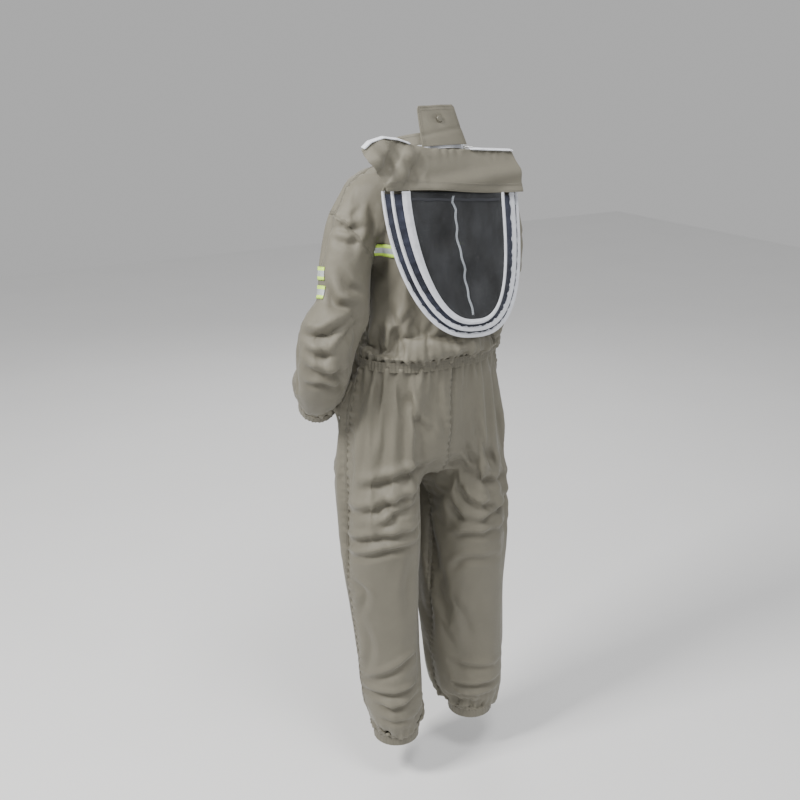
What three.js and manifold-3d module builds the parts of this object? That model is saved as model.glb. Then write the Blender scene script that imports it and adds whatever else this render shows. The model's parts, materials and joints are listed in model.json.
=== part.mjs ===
// Beekeeping suit: a one-piece coverall with elastic waist, cuffs and hems, and a fencing-style hood
// thrown back from the collar. The suit is shaped as it hangs on a standing wearer, who is not part of it.
// Units are millimetres. The wearer faces -Y, their left is +X and +Z is up.
import * as THREE from 'three';
import { mergeVertices } from 'three/addons/utils/BufferGeometryUtils.js';
import { RoundedBoxGeometry } from 'three/addons/geometries/RoundedBoxGeometry.js';
import Module from 'manifold-3d';

const wasm = await Module();
wasm.setup();

// ---- driving dimensions ----
const cloth = 3.6; // thickness given to the cloth shells
const gap = 0.3; // clearance between neighbouring pieces
// Heights add up from the ground the wearer stands on.
const hemTop = 130;
const legLength = 655; // top of the ankle hem to the crotch
const rise = 228; // crotch to the waist
const bodiceLength = 395; // waist to the centre of the collar's base
const hemLength = 21;
const ankleRadius = 51;
const casingHeight = 21; // waist casing
const casingDepth = 4.6;
const waistHalfWidth = 148;
const waistDepth = 112; // from the origin back
const bellyDepth = 121; // the front closure's middle in front of the origin
const sideSeam = 10; // Y of the side seams
const collarSetBack = 10; // the collar's centre behind the origin
const collarRadius = 74;
const collarStand = 36; // height of the stand collar
const collarTilt = THREE.MathUtils.degToRad(17); // the collar's back is higher than its front
const cuffRadius = 38;
const cuffLength = 18;
const sleeveRunOut = 14; // last station of a sleeve to its cuff
const bandHeight = 25; // reflective tape
const bandThickness = 1.1;
const yokeDrop = 138; // armpits to the collar's base
const backBandDrop = 178; // collar's base to the lower edge of the band round the chest
const pocketMouth = 137; // height of a slanted pocket's mouth
const pocketBelowWaist = 28;
const pocketSlant = 36; // the mouth's lower end is this far in front of its upper end
const pocketGape = 12;
const pocketStart = -3; // Y of the mouth's upper end
const pocketDepth = 205;
const pocketInner = 122; // X of the bag's inner wall
const pocketWelt = 10;
const zipTapeWidth = 13;
const zipTapeThickness = 1.2;
const zipTopDrop = 38; // the front zip ends this far below the collar's base
const zipBottomRise = 54; // and this far above the crotch
const neckTapeThickness = 1.5;
const flapHeight = 76;
const flapBase = 100;
const flapTop = 80;
const flapThickness = 3;
const flapShift = 10; // its top leans to the wearer's left
const hoodTilt = THREE.MathUtils.degToRad(8.5); // the thrown-back hood hangs away from the back
const hoodRoll = THREE.MathUtils.degToRad(4.5); // and its left side is the higher one
const bandDrop = 80; // fold line to the hem of the hood's cloth band
const bandFlare = 17; // the hem stands this far out, in front of the hoops' ends
const bandCloth = 5;
const hoodBackThickness = 2.1;
const veilLength = 277; // hem of the band to the lowest point of the outer hoop
const veilHalfWidth = 152;
const veilOffset = 10; // the veil's middle lies to the wearer's right
const veilSkew = 52; // and its lower end further still
const bindingWidth = 11;
const bindingThickness = 4.4;
const gussetRoom = 2; // depth between two bindings
const boningRadius = 1.3;

// ---- worked out from them ----
const crotchHeight = hemTop + legLength;
const waistHeight = crotchHeight + rise;
const collarHeight = waistHeight + bodiceLength;
const neckLean = Math.tan(collarTilt);
const neckDepth = collarRadius * Math.cos(collarTilt);
const neckBack = collarSetBack + neckDepth;
const throatDepth = neckDepth - collarSetBack;
// The front closure follows one arc from the crotch, over the belly, to the collar.
const zipArcHeight = (collarHeight + crotchHeight) / 2;
const zipArcRise = collarHeight - zipArcHeight;
const zipArcSag = bellyDepth - throatDepth;
const zipArcRadius = (zipArcRise ** 2 + zipArcSag ** 2) / (2 * zipArcSag);
const zipCentre = { y: zipArcRadius - bellyDepth, z: zipArcHeight };
const pocketTop = waistHeight - pocketBelowWaist;
const pocketBottom = pocketTop - pocketMouth;
const backBandHeight = collarHeight - backBandDrop;
const hoodSetBack = neckBack + 3.4; // the line where the hood folds back
const hoodFoldHeight = collarHeight + collarRadius * Math.sin(collarTilt);
const hoopPitch = bindingThickness + gussetRoom; // from one hoop's plane to the next

const khaki = 0x948f82;
const white = 0xe4e6ee;
const mesh = 0x2a2f38;

// ---- small tools ----
const suit = new THREE.Group();

function solid(geometry) {
  const bare = geometry.index ? geometry.toNonIndexed() : geometry.clone();
  bare.deleteAttribute('normal');
  bare.deleteAttribute('uv');
  const merged = mergeVertices(bare, 1e-3);
  return new wasm.Manifold(new wasm.Mesh({
    numProp: 3,
    vertProperties: new Float32Array(merged.attributes.position.array),
    triVerts: new Uint32Array(merged.index.array),
  }));
}

function geometryOf(body) {
  const made = body.getMesh();
  const geometry = new THREE.BufferGeometry();
  geometry.setAttribute('position', new THREE.BufferAttribute(made.vertProperties, 3));
  geometry.setIndex(new THREE.BufferAttribute(made.triVerts, 1));
  return geometry;
}

function piece(name, shape, colour, { roughness = 0.9, metalness = 0, parent = suit } = {}) {
  const geometry = shape.isBufferGeometry ? shape : geometryOf(shape);
  const material = new THREE.MeshStandardMaterial({ color: colour, roughness, metalness });
  const part = new THREE.Mesh(geometry, material);
  part.name = name;
  parent.add(part);
  return part;
}

function block(low, high) {
  const size = high.map((value, i) => value - low[i]);
  const geometry = new THREE.BoxGeometry(...size);
  geometry.translate(...low.map((value, i) => value + size[i] / 2));
  return solid(geometry);
}

// A closed solid through rings of points that all have the same count.
function loft(rings) {
  const count = rings[0].length;
  const positions = [];
  const indices = [];
  rings.forEach((ring) => ring.forEach((point) => positions.push(point.x, point.y, point.z)));
  for (let r = 0; r < rings.length - 1; r += 1) {
    for (let i = 0; i < count; i += 1) {
      const a = r * count + i;
      const b = r * count + (i + 1) % count;
      indices.push(a, b, a + count, b, b + count, a + count);
    }
  }
  [0, rings.length - 1].forEach((r) => {
    const centre = new THREE.Vector3();
    rings[r].forEach((point) => centre.addScaledVector(point, 1 / count));
    positions.push(centre.x, centre.y, centre.z);
    const tip = positions.length / 3 - 1;
    for (let i = 0; i < count; i += 1) {
      const a = r * count + i;
      const b = r * count + (i + 1) % count;
      indices.push(...(r === 0 ? [b, a, tip] : [a, b, tip]));
    }
  });
  const geometry = new THREE.BufferGeometry();
  geometry.setAttribute('position', new THREE.Float32BufferAttribute(positions, 3));
  geometry.setIndex(indices);
  const body = solid(geometry);
  if (body.volume() > 0) return body;
  for (let i = 0; i < indices.length; i += 3) [indices[i], indices[i + 1]] = [indices[i + 1], indices[i]];
  geometry.setIndex(indices);
  return solid(geometry);
}

// ---- the trunk's outline ----
function frontLine(height) {
  const above = height - zipCentre.z;
  return zipCentre.y - Math.sqrt(zipArcRadius ** 2 - above ** 2);
}

// One level ring: half width, depth behind the origin, and a lean that lifts its back.
function ring({ z, wide, back, front, round = 2.3, lean = 0 }, grow, points = 24) {
  const made = [];
  const foremost = front ?? -frontLine(z);
  const power = 2 / round;
  const middle = lean ? collarSetBack : 0;
  for (let i = 0; i < points; i += 1) {
    const angle = (2 * Math.PI * (i + 0.5)) / points;
    const c = Math.cos(angle);
    const s = Math.sin(angle);
    const depth = s > 0 ? back - middle : foremost + middle;
    const x = (wide + grow) * Math.sign(c) * Math.abs(c) ** power;
    const y = middle + (depth + grow) * Math.sign(s) * Math.abs(s) ** power;
    made.push(new THREE.Vector3(x, y, z + lean * (y - middle)));
  }
  return made;
}

const waist = { wide: waistHalfWidth, back: waistDepth };
const waistHalf = casingHeight / 2 + 1;
const onSide = (share) => waistHeight + share * (bodiceLength - yokeDrop);
const below = (drop) => collarHeight - drop;
const trunkRings = [
  { z: waistHeight, ...waist },
  { z: waistHeight + waistHalf, ...waist },
  { z: onSide(0.11), wide: waistHalfWidth + 10, back: waistDepth + 11 },
  { z: onSide(0.23), wide: waistHalfWidth + 15, back: waistDepth + 18 },
  { z: onSide(0.46), wide: 158, back: 126 },
  { z: onSide(0.67), wide: 148, back: 119.5 },
  { z: onSide(0.86), wide: 144, back: 112 },
  { z: below(yokeDrop), wide: 156, back: 107 },
  { z: below(103), wide: 176, back: 102 },
  { z: below(68), wide: 185, back: 96.5 },
  { z: below(40), wide: 172, back: neckBack + 10 },
  { z: below(18), wide: collarRadius + 54, back: neckBack + 5.7, lean: 0.15 },
  { z: below(6), wide: collarRadius + 18, back: neckBack + 2.2, front: throatDepth + 4, lean: 0.25, round: 2.1 },
  { z: collarHeight, wide: collarRadius, back: neckBack, front: throatDepth, lean: neckLean, round: 2 },
];

function trunk(grow, open = 0) {
  const rings = trunkRings.map((section) => ring(section, grow));
  if (open) {
    const last = trunkRings[trunkRings.length - 1];
    rings.unshift(ring({ ...trunkRings[0], z: waistHeight - open }, grow));
    rings.push(ring({ ...last, z: last.z + open }, grow));
  }
  return loft(rings);
}

// ---- sleeves: stations from inside the shoulder to the wrist, each [x, y, drop below the collar], radius ----
const sleeveStations = {
  left: [
    [[118, 10, 82], 46], [[160, 12, 102], 58], [[184, 22, 180], 55], [[198, 34, 258], 53],
    [[241, 42, 304], 63], [[238, 4, 400], 58], [[217, -50, 480], cuffRadius + 4],
  ],
  right: [
    [[-118, 10, 82], 46], [[-160, 12, 102], 58], [[-185, 2, 180], 55], [[-198, -30, 258], 55],
    [[-207, -62, 325], 54], [[-210, -78, 404], 52], [[-209, -84, 464], cuffRadius + 3],
  ],
};
const sleeveSteps = 11;

function sleevePath(side) {
  const points = sleeveStations[side].map(([[x, y, drop]]) => new THREE.Vector3(x, y, collarHeight - drop));
  return new THREE.CatmullRomCurve3(points);
}

function sleeveRadius(side, t) {
  const stations = sleeveStations[side];
  const place = t * (stations.length - 1);
  const low = Math.min(Math.floor(place), stations.length - 2);
  return THREE.MathUtils.lerp(stations[low][1], stations[low + 1][1], place - low);
}

function circle(centre, along, radius, points = 14) {
  const side = new THREE.Vector3(0, 1, 0).cross(along).normalize();
  const up = along.clone().cross(side).normalize();
  const made = [];
  for (let i = 0; i < points; i += 1) {
    const angle = (2 * Math.PI * (i + 0.5)) / points;
    made.push(centre.clone()
      .addScaledVector(side, radius * Math.cos(angle))
      .addScaledVector(up, radius * Math.sin(angle)));
  }
  return made;
}

function wristOf(side) {
  const path = sleevePath(side);
  return { centre: path.getPoint(1), along: path.getTangent(1) };
}

function sleeve(side, grow, open = 0) {
  const path = sleevePath(side);
  const rings = [];
  for (let i = 0; i < sleeveSteps; i += 1) {
    const t = i / (sleeveSteps - 1);
    rings.push(circle(path.getPoint(t), path.getTangent(t), sleeveRadius(side, t) + grow));
  }
  const { centre, along } = wristOf(side);
  const end = centre.clone().addScaledVector(along, sleeveRunOut);
  rings.push(circle(end, along, cuffRadius + grow));
  if (open) rings.push(circle(end.clone().addScaledVector(along, open), along, cuffRadius + grow));
  return loft(rings);
}

// ---- trousers: the seat, and legs given as rings [share of the leg's length, x, y, half width, half depth] ----
const belowWaist = (share) => waistHeight - share * rise;
const seatRings = [
  { z: waistHeight, ...waist },
  { z: waistHeight - waistHalf, ...waist },
  { z: belowWaist(0.12), wide: waistHalfWidth + 12, back: waistDepth + 7 },
  { z: belowWaist(0.285), wide: 174, back: 124 },
  { z: belowWaist(0.48), wide: 186, back: 127 },
  { z: belowWaist(0.65), wide: 194, back: 127 },
  { z: belowWaist(0.85), wide: 196, back: 120 },
  { z: crotchHeight, wide: 190, back: 104 },
];
const legPoints = 16;
const legRings = {
  left: [
    [-0.115, 98, 2, 84, 92], [-0.02, 101, 4, 98, 106], [0.07, 104, 6, 98, 100], [0.19, 102, 8, 97, 94],
    [0.31, 97, 8, 93, 88], [0.435, 91, 10, 86, 82], [0.56, 87, 12, 81, 78], [0.68, 84, 14, 74, 74],
    [0.8, 80, 18, 75, 76], [0.91, 77, 20, 75, 78], [0.967, 75, 22, ankleRadius + 13, ankleRadius + 15],
  ],
  right: [
    [-0.115, -98, 2, 84, 92], [-0.02, -101, 4, 98, 106], [0.07, -107, 6, 100, 100], [0.19, -114, 8, 103, 95],
    [0.31, -114, 9, 96, 90], [0.435, -114, 10, 88, 84], [0.56, -120, 12, 88, 80], [0.68, -132, 14, 82, 76],
    [0.8, -134, 18, 78, 76], [0.91, -132, 20, 78, 78], [0.967, -130, 22, ankleRadius + 14, ankleRadius + 15],
  ],
};

function ankleOf(side) {
  const [, x, y] = legRings[side][legRings[side].length - 1];
  return { x, y };
}

function leg(side, grow, open = 0) {
  const { x, y } = ankleOf(side);
  const stations = [...legRings[side], [1, x, y, ankleRadius, ankleRadius]];
  if (open) stations.push([1 + open / legLength, x, y, ankleRadius, ankleRadius]);
  return loft(stations.map(([share, cx, cy, wide, deep]) => {
    const made = [];
    const height = crotchHeight - share * legLength;
    for (let i = 0; i < legPoints; i += 1) {
      const angle = (2 * Math.PI * (i + 0.5)) / legPoints;
      const dx = (wide + grow) * Math.cos(angle);
      const dy = (deep + grow) * Math.sin(angle);
      made.push(new THREE.Vector3(cx + dx, cy + dy, height));
    }
    return made;
  }));
}

function trousers(grow, open = 0) {
  const rings = seatRings.map((section) => ring(section, grow));
  rings[rings.length - 1].forEach((point) => { point.z -= grow; });
  if (open) rings.unshift(ring({ ...seatRings[0], z: waistHeight + open }, grow));
  return loft(rings).add(leg('left', grow, open)).add(leg('right', grow, open));
}

// ---- boxes that keep one side of a seam ----
const far = 900;
const half = gap / 2;
const side = {
  left: () => block([half, -far, 0], [far, far, 2 * far]),
  right: () => block([-far, -far, 0], [-half, far, 2 * far]),
  back: () => block([-far, sideSeam + half, 0], [far, far, 2 * far]),
  front: () => block([-far, -far, 0], [far, sideSeam - half, 2 * far]),
};
const sides = ['left', 'right'];
const sign = { left: 1, right: -1 };

// ---- bodice ----
function addBodice() {
  let shell = trunk(0).subtract(trunk(-cloth, 20));
  shell = shell.subtract(block([-far, -far, 0], [far, far, waistHeight + half]));
  sides.forEach((name) => { shell = shell.subtract(sleeve(name, -cloth)); });
  piece('bodice_back', shell.intersect(side.back()), khaki);
  const front = shell.intersect(side.front());
  sides.forEach((name) => piece(`bodice_front_${name}`, front.intersect(side[name]()), khaki));
}

function addSleeves() {
  sides.forEach((name) => {
    const tube = sleeve(name, 0).subtract(sleeve(name, -cloth, 20));
    piece(`sleeve_${name}`, tube.subtract(trunk(gap)), khaki);
    const { centre, along } = wristOf(name);
    const start = centre.clone().addScaledVector(along, sleeveRunOut + gap);
    addElasticRing(`cuff_${name}`, start, along, cuffRadius, cuffLength);
  });
}

// A folded hem with a channel open to the inside, and the elastic that lies in the channel.
function addElasticRing(name, start, along, radius, length) {
  const wall = 1.5;
  const inner = radius - cloth - 1;
  const turn = new THREE.Quaternion().setFromUnitVectors(new THREE.Vector3(0, 1, 0), along);
  const casing = [
    [inner, 0], [radius, 0], [radius, length], [inner, length], [inner, length - 3],
    [radius - wall, length - 3], [radius - wall, 3], [inner, 3],
  ];
  const elastic = [
    [inner + 0.4, 3 + gap], [radius - wall - gap, 3 + gap],
    [radius - wall - gap, length - 3 - gap], [inner + 0.4, length - 3 - gap],
  ];
  [[name, casing, khaki], [`${name}_elastic`, elastic, 0xd8d5cc]].forEach(([label, outline, colour]) => {
    const profile = [...outline, outline[0]].map(([r, y]) => new THREE.Vector2(r, y));
    const hoop = piece(label, geometryOf(solid(new THREE.LatheGeometry(profile, 18))), colour);
    hoop.quaternion.copy(turn);
    hoop.position.copy(start);
  });
}

// ---- waist: a casing round the gathered join, with its elastic; both stop at the front closure ----
function waistBand(low, high, inner, outer) {
  const level = (z, grow) => ring({ z, ...waist }, grow);
  const shell = loft([level(low, outer), level(high, outer)])
    .subtract(loft([level(low - 5, inner), level(high + 5, inner)]));
  return shell.subtract(block([-zipTapeWidth - 3, -far, 0], [zipTapeWidth + 3, 0, 2 * far]));
}

function addWaist() {
  const low = waistHeight - casingHeight / 2;
  const high = waistHeight + casingHeight / 2;
  const groove = waistBand(low + 3, high - 3, 0, casingDepth - 1.6);
  piece('waist_casing', waistBand(low, high, 0.5, casingDepth).subtract(groove), khaki);
  piece('waist_elastic', waistBand(low + 3.4, high - 3.4, 0.9, casingDepth - 1.6 - gap), 0xd8d5cc);
}

// ---- trousers with slanted side pockets ----
function pocketSlab(name, before, behind, stretch = 0) {
  const height = pocketTop - pocketBottom + 2 * stretch;
  const geometry = new THREE.BoxGeometry(160, before + behind, height);
  geometry.translate(0, (behind - before) / 2, 0);
  const slab = new THREE.Mesh(geometry);
  slab.rotation.x = -Math.atan2(pocketSlant, pocketTop - pocketBottom);
  slab.position.set(sign[name] * 220, pocketStart - pocketSlant / 2, (pocketTop + pocketBottom) / 2);
  slab.updateMatrixWorld();
  return solid(geometry.applyMatrix4(slab.matrixWorld));
}

function addTrousers() {
  let shell = trousers(0).subtract(trousers(-cloth, 20));
  shell = shell.subtract(block([-far, -far, waistHeight - half], [far, far, 2 * far]));
  sides.forEach((name) => { shell = shell.subtract(pocketSlab(name, pocketGape, 0)); });
  const bagSpace = trousers(-cloth - gap);
  const handSpace = trousers(-cloth - gap - 1.8);
  sides.forEach((name) => {
    const own = shell.intersect(side[name]());
    piece(`trouser_back_${name}`, own.intersect(side.back()), khaki);
    piece(`trouser_front_${name}`, own.intersect(side.front()), khaki);
    const span = (inset) => {
      const xs = [sign[name] * (pocketInner + inset), sign[name] * 300].sort((a, b) => a - b);
      const top = pocketTop + 6;
      return block([xs[0], -110 + inset, top - pocketDepth + inset], [xs[1], 5 - inset, top - inset]);
    };
    const bag = bagSpace.intersect(span(0)).subtract(handSpace.intersect(span(3)));
    piece(`pocket_bag_${name}`, bag.subtract(pocketSlab(name, pocketGape, 0)), 0xb9b4a8);
    const skin = trousers(1.8).subtract(trousers(gap));
    const welt = skin.intersect(pocketSlab(name, -0.6, pocketWelt)).intersect(side[name]());
    piece(`pocket_welt_${name}`, welt, khaki);
    const { x, y } = ankleOf(name);
    const down = new THREE.Vector3(0, 0, -1);
    addElasticRing(`hem_${name}`, new THREE.Vector3(x, y, hemTop - gap), down, ankleRadius, hemLength);
  });
}

// ---- reflective bands ----
function addReflectiveBands() {
  const level = block([-far, -far, backBandHeight], [far, far, backBandHeight + bandHeight]);
  let skin = trunk(gap + bandThickness).subtract(trunk(gap)).intersect(level);
  sides.forEach((name) => { skin = skin.subtract(sleeve(name, 0.8)); });
  piece('back_band', skin.intersect(side.back()), 0xb8c8a8);
  const closure = block([-zipTapeWidth - 3, -far, 0], [zipTapeWidth + 3, 0, 2 * far]);
  const front = skin.intersect(side.front()).subtract(closure);
  sides.forEach((name) => piece(`chest_band_${name}`, front.intersect(side[name]()), 0xb8c8a8));
  sides.forEach((name) => {
    const path = sleevePath(name);
    const tube = sleeve(name, gap + bandThickness).subtract(sleeve(name, gap)).subtract(trunk(4));
    [['upper', 0.395], ['lower', 0.485]].forEach(([label, t]) => {
      const slab = new THREE.Mesh(new THREE.BoxGeometry(300, 200, bandHeight));
      slab.geometry.translate(0, -122, 0);
      const along = path.getTangent(t);
      slab.quaternion.setFromUnitVectors(new THREE.Vector3(0, 0, -1), along);
      slab.position.copy(path.getPoint(t));
      slab.updateMatrixWorld();
      const cut = solid(slab.geometry.applyMatrix4(slab.matrixWorld));
      piece(`sleeve_band_${label}_${name}`, tube.intersect(cut), 0xb8c8a8);
    });
  });
}

// ---- front closure: two zip tapes on the arc, a slider and its pull ----
const zipTop = Math.asin((zipArcRise - zipTopDrop) / zipArcRadius);
const zipBottom = -Math.asin((zipArcRise - zipBottomRise) / zipArcRadius);

function arcStrip(inner, outer, from, to, width, steps = 22) {
  const outline = [];
  const at = (radius, angle) => new THREE.Vector2(
    zipCentre.y - radius * Math.cos(angle), zipCentre.z + radius * Math.sin(angle));
  for (let i = 0; i <= steps; i += 1) outline.push(at(outer, from + ((to - from) * i) / steps));
  for (let i = steps; i >= 0; i -= 1) outline.push(at(inner, from + ((to - from) * i) / steps));
  const geometry = new THREE.ExtrudeGeometry(new THREE.Shape(outline), { depth: width, bevelEnabled: false });
  // The outline is drawn in Y and Z and is pushed along X.
  geometry.applyMatrix4(new THREE.Matrix4().set(0, 0, 1, 0, 1, 0, 0, 0, 0, 1, 0, 0, 0, 0, 0, 1));
  return geometry;
}

function onZip(angle, radius) {
  return [0, zipCentre.y - radius * Math.cos(angle), zipCentre.z + radius * Math.sin(angle)];
}

function addFrontZip() {
  const bottom = zipArcRadius - 0.2; // the cloth's flat facets lie just under the arc
  const top = bottom + zipTapeThickness;
  sides.forEach((name) => {
    const tape = arcStrip(bottom, top, zipBottom, zipTop, zipTapeWidth - half);
    tape.translate(name === 'left' ? half : -zipTapeWidth, 0, 0);
    piece(`front_zip_tape_${name}`, geometryOf(solid(tape)), 0x8b8778);
  });
  const parked = zipTop - 0.011;
  const slider = piece('front_zip_slider', new RoundedBoxGeometry(9, 4.2, 14, 1, 1), 0xb8b8b4,
    { roughness: 0.35, metalness: 0.9 });
  slider.position.set(...onZip(parked, top + gap + 2.1));
  slider.rotation.x = -parked;
  const pull = piece('front_zip_pull', new RoundedBoxGeometry(6, 1.6, 27, 1, 0.7), 0xb8b8b4,
    { roughness: 0.35, metalness: 0.9 });
  pull.position.set(...onZip(parked - 11 / zipArcRadius, top + 2 * gap + 5.1));
  pull.rotation.x = -parked;
}

// ---- collar, neck zip and nape flap ----
function addCollar() {
  const neck = new THREE.Group();
  neck.position.set(0, collarSetBack, collarHeight);
  neck.rotation.x = collarTilt;
  suit.add(neck);
  const turned = (outline) => {
    const profile = [...outline, outline[0]].map(([r, y]) => new THREE.Vector2(r, y));
    const geometry = new THREE.LatheGeometry(profile, 32);
    geometry.rotateX(Math.PI / 2);
    return solid(geometry);
  };
  const opening = (width) => block([-width, -far, -50], [width, 0, 90]);
  const inner = collarRadius - cloth;
  const stand = turned([
    [inner, gap], [collarRadius, gap], [collarRadius, 16],
    [collarRadius - 3, collarStand], [inner - 3, collarStand],
  ]);
  piece('collar', stand.subtract(opening(1.2)), khaki, { parent: neck });
  const tapeInner = collarRadius + gap;
  const tapeOuter = tapeInner + neckTapeThickness;
  const tape = turned([[tapeInner, 0.6], [tapeOuter, 0.6], [tapeOuter, 12], [tapeInner, 12]]);
  piece('neck_zip_tape', tape.subtract(opening(5)), white, { parent: neck });
  sides.forEach((name) => {
    const holder = new THREE.Group();
    holder.rotation.z = sign[name] * -THREE.MathUtils.degToRad(62);
    neck.add(holder);
    const metal = { roughness: 0.35, metalness: 0.9, parent: holder };
    const slider = piece(`neck_zip_slider_${name}`, new RoundedBoxGeometry(11, 3.6, 8, 1, 0.9),
      0xb8b8b4, metal);
    slider.position.set(0, tapeOuter + gap + 1.8, 7);
    const pull = piece(`neck_zip_pull_${name}`, new RoundedBoxGeometry(5, 16, 1.4, 1, 0.6), 0xb8b8b4, metal);
    pull.position.set(0, tapeOuter + 2 * gap + 3.6 + 8, 6.2);
    pull.rotation.x = THREE.MathUtils.degToRad(-8);
  });
}

// The flap stands against the back of the collar and leans with it.
function addNapeFlap() {
  const neck = new THREE.Group();
  neck.position.set(0, collarSetBack, collarHeight);
  neck.rotation.x = collarTilt;
  suit.add(neck);
  const flap = new THREE.Group();
  flap.position.set(0, collarRadius + neckTapeThickness + 2.4 * gap + flapThickness / 2, 6);
  neck.add(flap);
  const outline = new THREE.Shape([
    new THREE.Vector2(-flapBase / 2, 0), new THREE.Vector2(flapBase / 2, 0),
    new THREE.Vector2(flapShift + flapTop / 2, flapHeight),
    new THREE.Vector2(flapShift - flapTop / 2, flapHeight),
  ]);
  const cloths = new THREE.ExtrudeGeometry(outline, { depth: flapThickness, bevelEnabled: false });
  cloths.rotateX(Math.PI / 2);
  cloths.translate(0, flapThickness / 2, 0);
  piece('nape_flap', geometryOf(solid(cloths)), khaki, { parent: flap });
  const snap = new THREE.CylinderGeometry(6, 6.5, 1.6, 16);
  const button = piece('nape_snap', geometryOf(solid(snap)), 0x8a877c, { roughness: 0.5, parent: flap });
  button.position.set(6, flapThickness / 2 + gap + 0.8, flapHeight * 0.66);
}

// ---- hood, thrown back: local x across, y away from the back, z up from the fold line ----
const hood = new THREE.Group();
hood.rotation.y = -hoodRoll;
const hoodPlace = new THREE.Group();
hoodPlace.position.set(0, hoodSetBack, hoodFoldHeight);
hoodPlace.rotation.x = hoodTilt;
hoodPlace.add(hood);

// Point of a hoop, t from one end to the other, for a hoop shrunk at its sides and its lower end.
function hoopPoint(t, margin, depth) {
  const angle = Math.PI * t;
  const wide = veilHalfWidth - margin.side;
  const long = veilLength - margin.end;
  const c = Math.cos(angle);
  const s = Math.sin(angle);
  const drop = long * s ** 0.9;
  const x = wide * Math.sign(c) * Math.abs(c) ** 0.8 - veilSkew * (drop / veilLength) ** 1.3;
  return new THREE.Vector3(x - veilOffset, depth, -bandDrop - gap - drop);
}

class Hoop extends THREE.Curve {
  constructor(margin, depth) {
    super();
    this.margin = margin;
    this.depth = depth;
  }

  getPoint(t, target = new THREE.Vector3()) {
    return target.copy(hoopPoint(t, this.margin, this.depth));
  }
}

// A sheet inside a hoop's outline, from one depth to another.
function hoopSheet(margin, low, high, points = 26) {
  const outline = [];
  for (let i = 0; i <= points; i += 1) {
    const p = hoopPoint(i / points, margin, 0);
    outline.push(new THREE.Vector2(p.x, p.z));
  }
  return sheetOf(outline, low, high);
}

function sheetOf(outline, low, high) {
  const geometry = new THREE.ExtrudeGeometry(new THREE.Shape(outline), { depth: high - low, bevelEnabled: false });
  geometry.rotateX(Math.PI / 2);
  geometry.translate(0, high, 0);
  return solid(geometry);
}

// A bar of rounded section along a hoop, with rings square to the path in the hoop's plane.
function hoopBar(margin, depth, halfWide, halfThick, points, steps = 18) {
  const path = new Hoop(margin, depth);
  const rings = [];
  for (let i = 0; i <= steps; i += 1) {
    const t = i / steps;
    const here = path.getPoint(t);
    const ahead = path.getPoint(Math.min(t + 0.01, 1)).sub(path.getPoint(Math.max(t - 0.01, 0))).normalize();
    const across = new THREE.Vector3(0, 1, 0).cross(ahead).normalize();
    const made = [];
    for (let k = 0; k < points; k += 1) {
      const angle = (2 * Math.PI * (k + 0.5)) / points;
      made.push(here.clone()
        .addScaledVector(across, halfWide * Math.cos(angle))
        .addScaledVector(new THREE.Vector3(0, 1, 0), halfThick * Math.sin(angle)));
    }
    rings.push(made);
  }
  return loft(rings);
}

const hoopMargins = {
  outer: { side: 0, end: 0 },
  middle: { side: 16, end: 13 },
  inner: { side: 42, end: 27 },
};
const inset = ({ side: across, end }, by) => ({ side: across + by, end: end + by });
const firstHoopDepth = hoodBackThickness + gap + bindingThickness / 2 + 0.1;
const hoopDepths = {
  outer: firstHoopDepth,
  middle: firstHoopDepth + hoopPitch,
  inner: firstHoopDepth + 2 * hoopPitch,
};

function addHoops() {
  const floor = block([-far, -far, -far], [far, far, -bandDrop - 0.7]);
  Object.entries(hoopMargins).forEach(([name, margin]) => {
    const depth = hoopDepths[name];
    const outer = hoopBar(margin, depth, bindingWidth / 2 + 0.9, bindingThickness / 2 + 0.6, 6);
    const channel = hoopBar(margin, depth, boningRadius + 0.6, boningRadius + 0.45, 5);
    const flat = block([-far, depth - bindingThickness / 2, -far], [far, depth + bindingThickness / 2, far]);
    const binding = outer.intersect(flat).subtract(channel).intersect(floor);
    piece(`${name}_hoop_binding`, binding, white, { parent: hood });
    const rod = hoopBar(margin, depth, boningRadius, boningRadius, 5).intersect(floor);
    piece(`${name}_hoop_rod`, rod, 0x30343a, { roughness: 0.5, metalness: 0.6, parent: hood });
  });
  const gusset = (outer, inner) => {
    const middle = (hoopDepths[outer] + hoopDepths[inner]) / 2;
    const thin = 0.3 * gussetRoom;
    const sheet = hoopSheet(inset(hoopMargins[outer], 2), middle - thin, middle + thin);
    const hole = hoopSheet(inset(hoopMargins[inner], -2), middle - 5, middle + 5);
    return sheet.subtract(hole).subtract(block([-far, -far, -bandDrop - 1], [far, far, 50]));
  };
  piece('outer_gusset', gusset('outer', 'middle'), mesh, { parent: hood });
  piece('inner_gusset', gusset('middle', 'inner'), mesh, { parent: hood });
}

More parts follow.
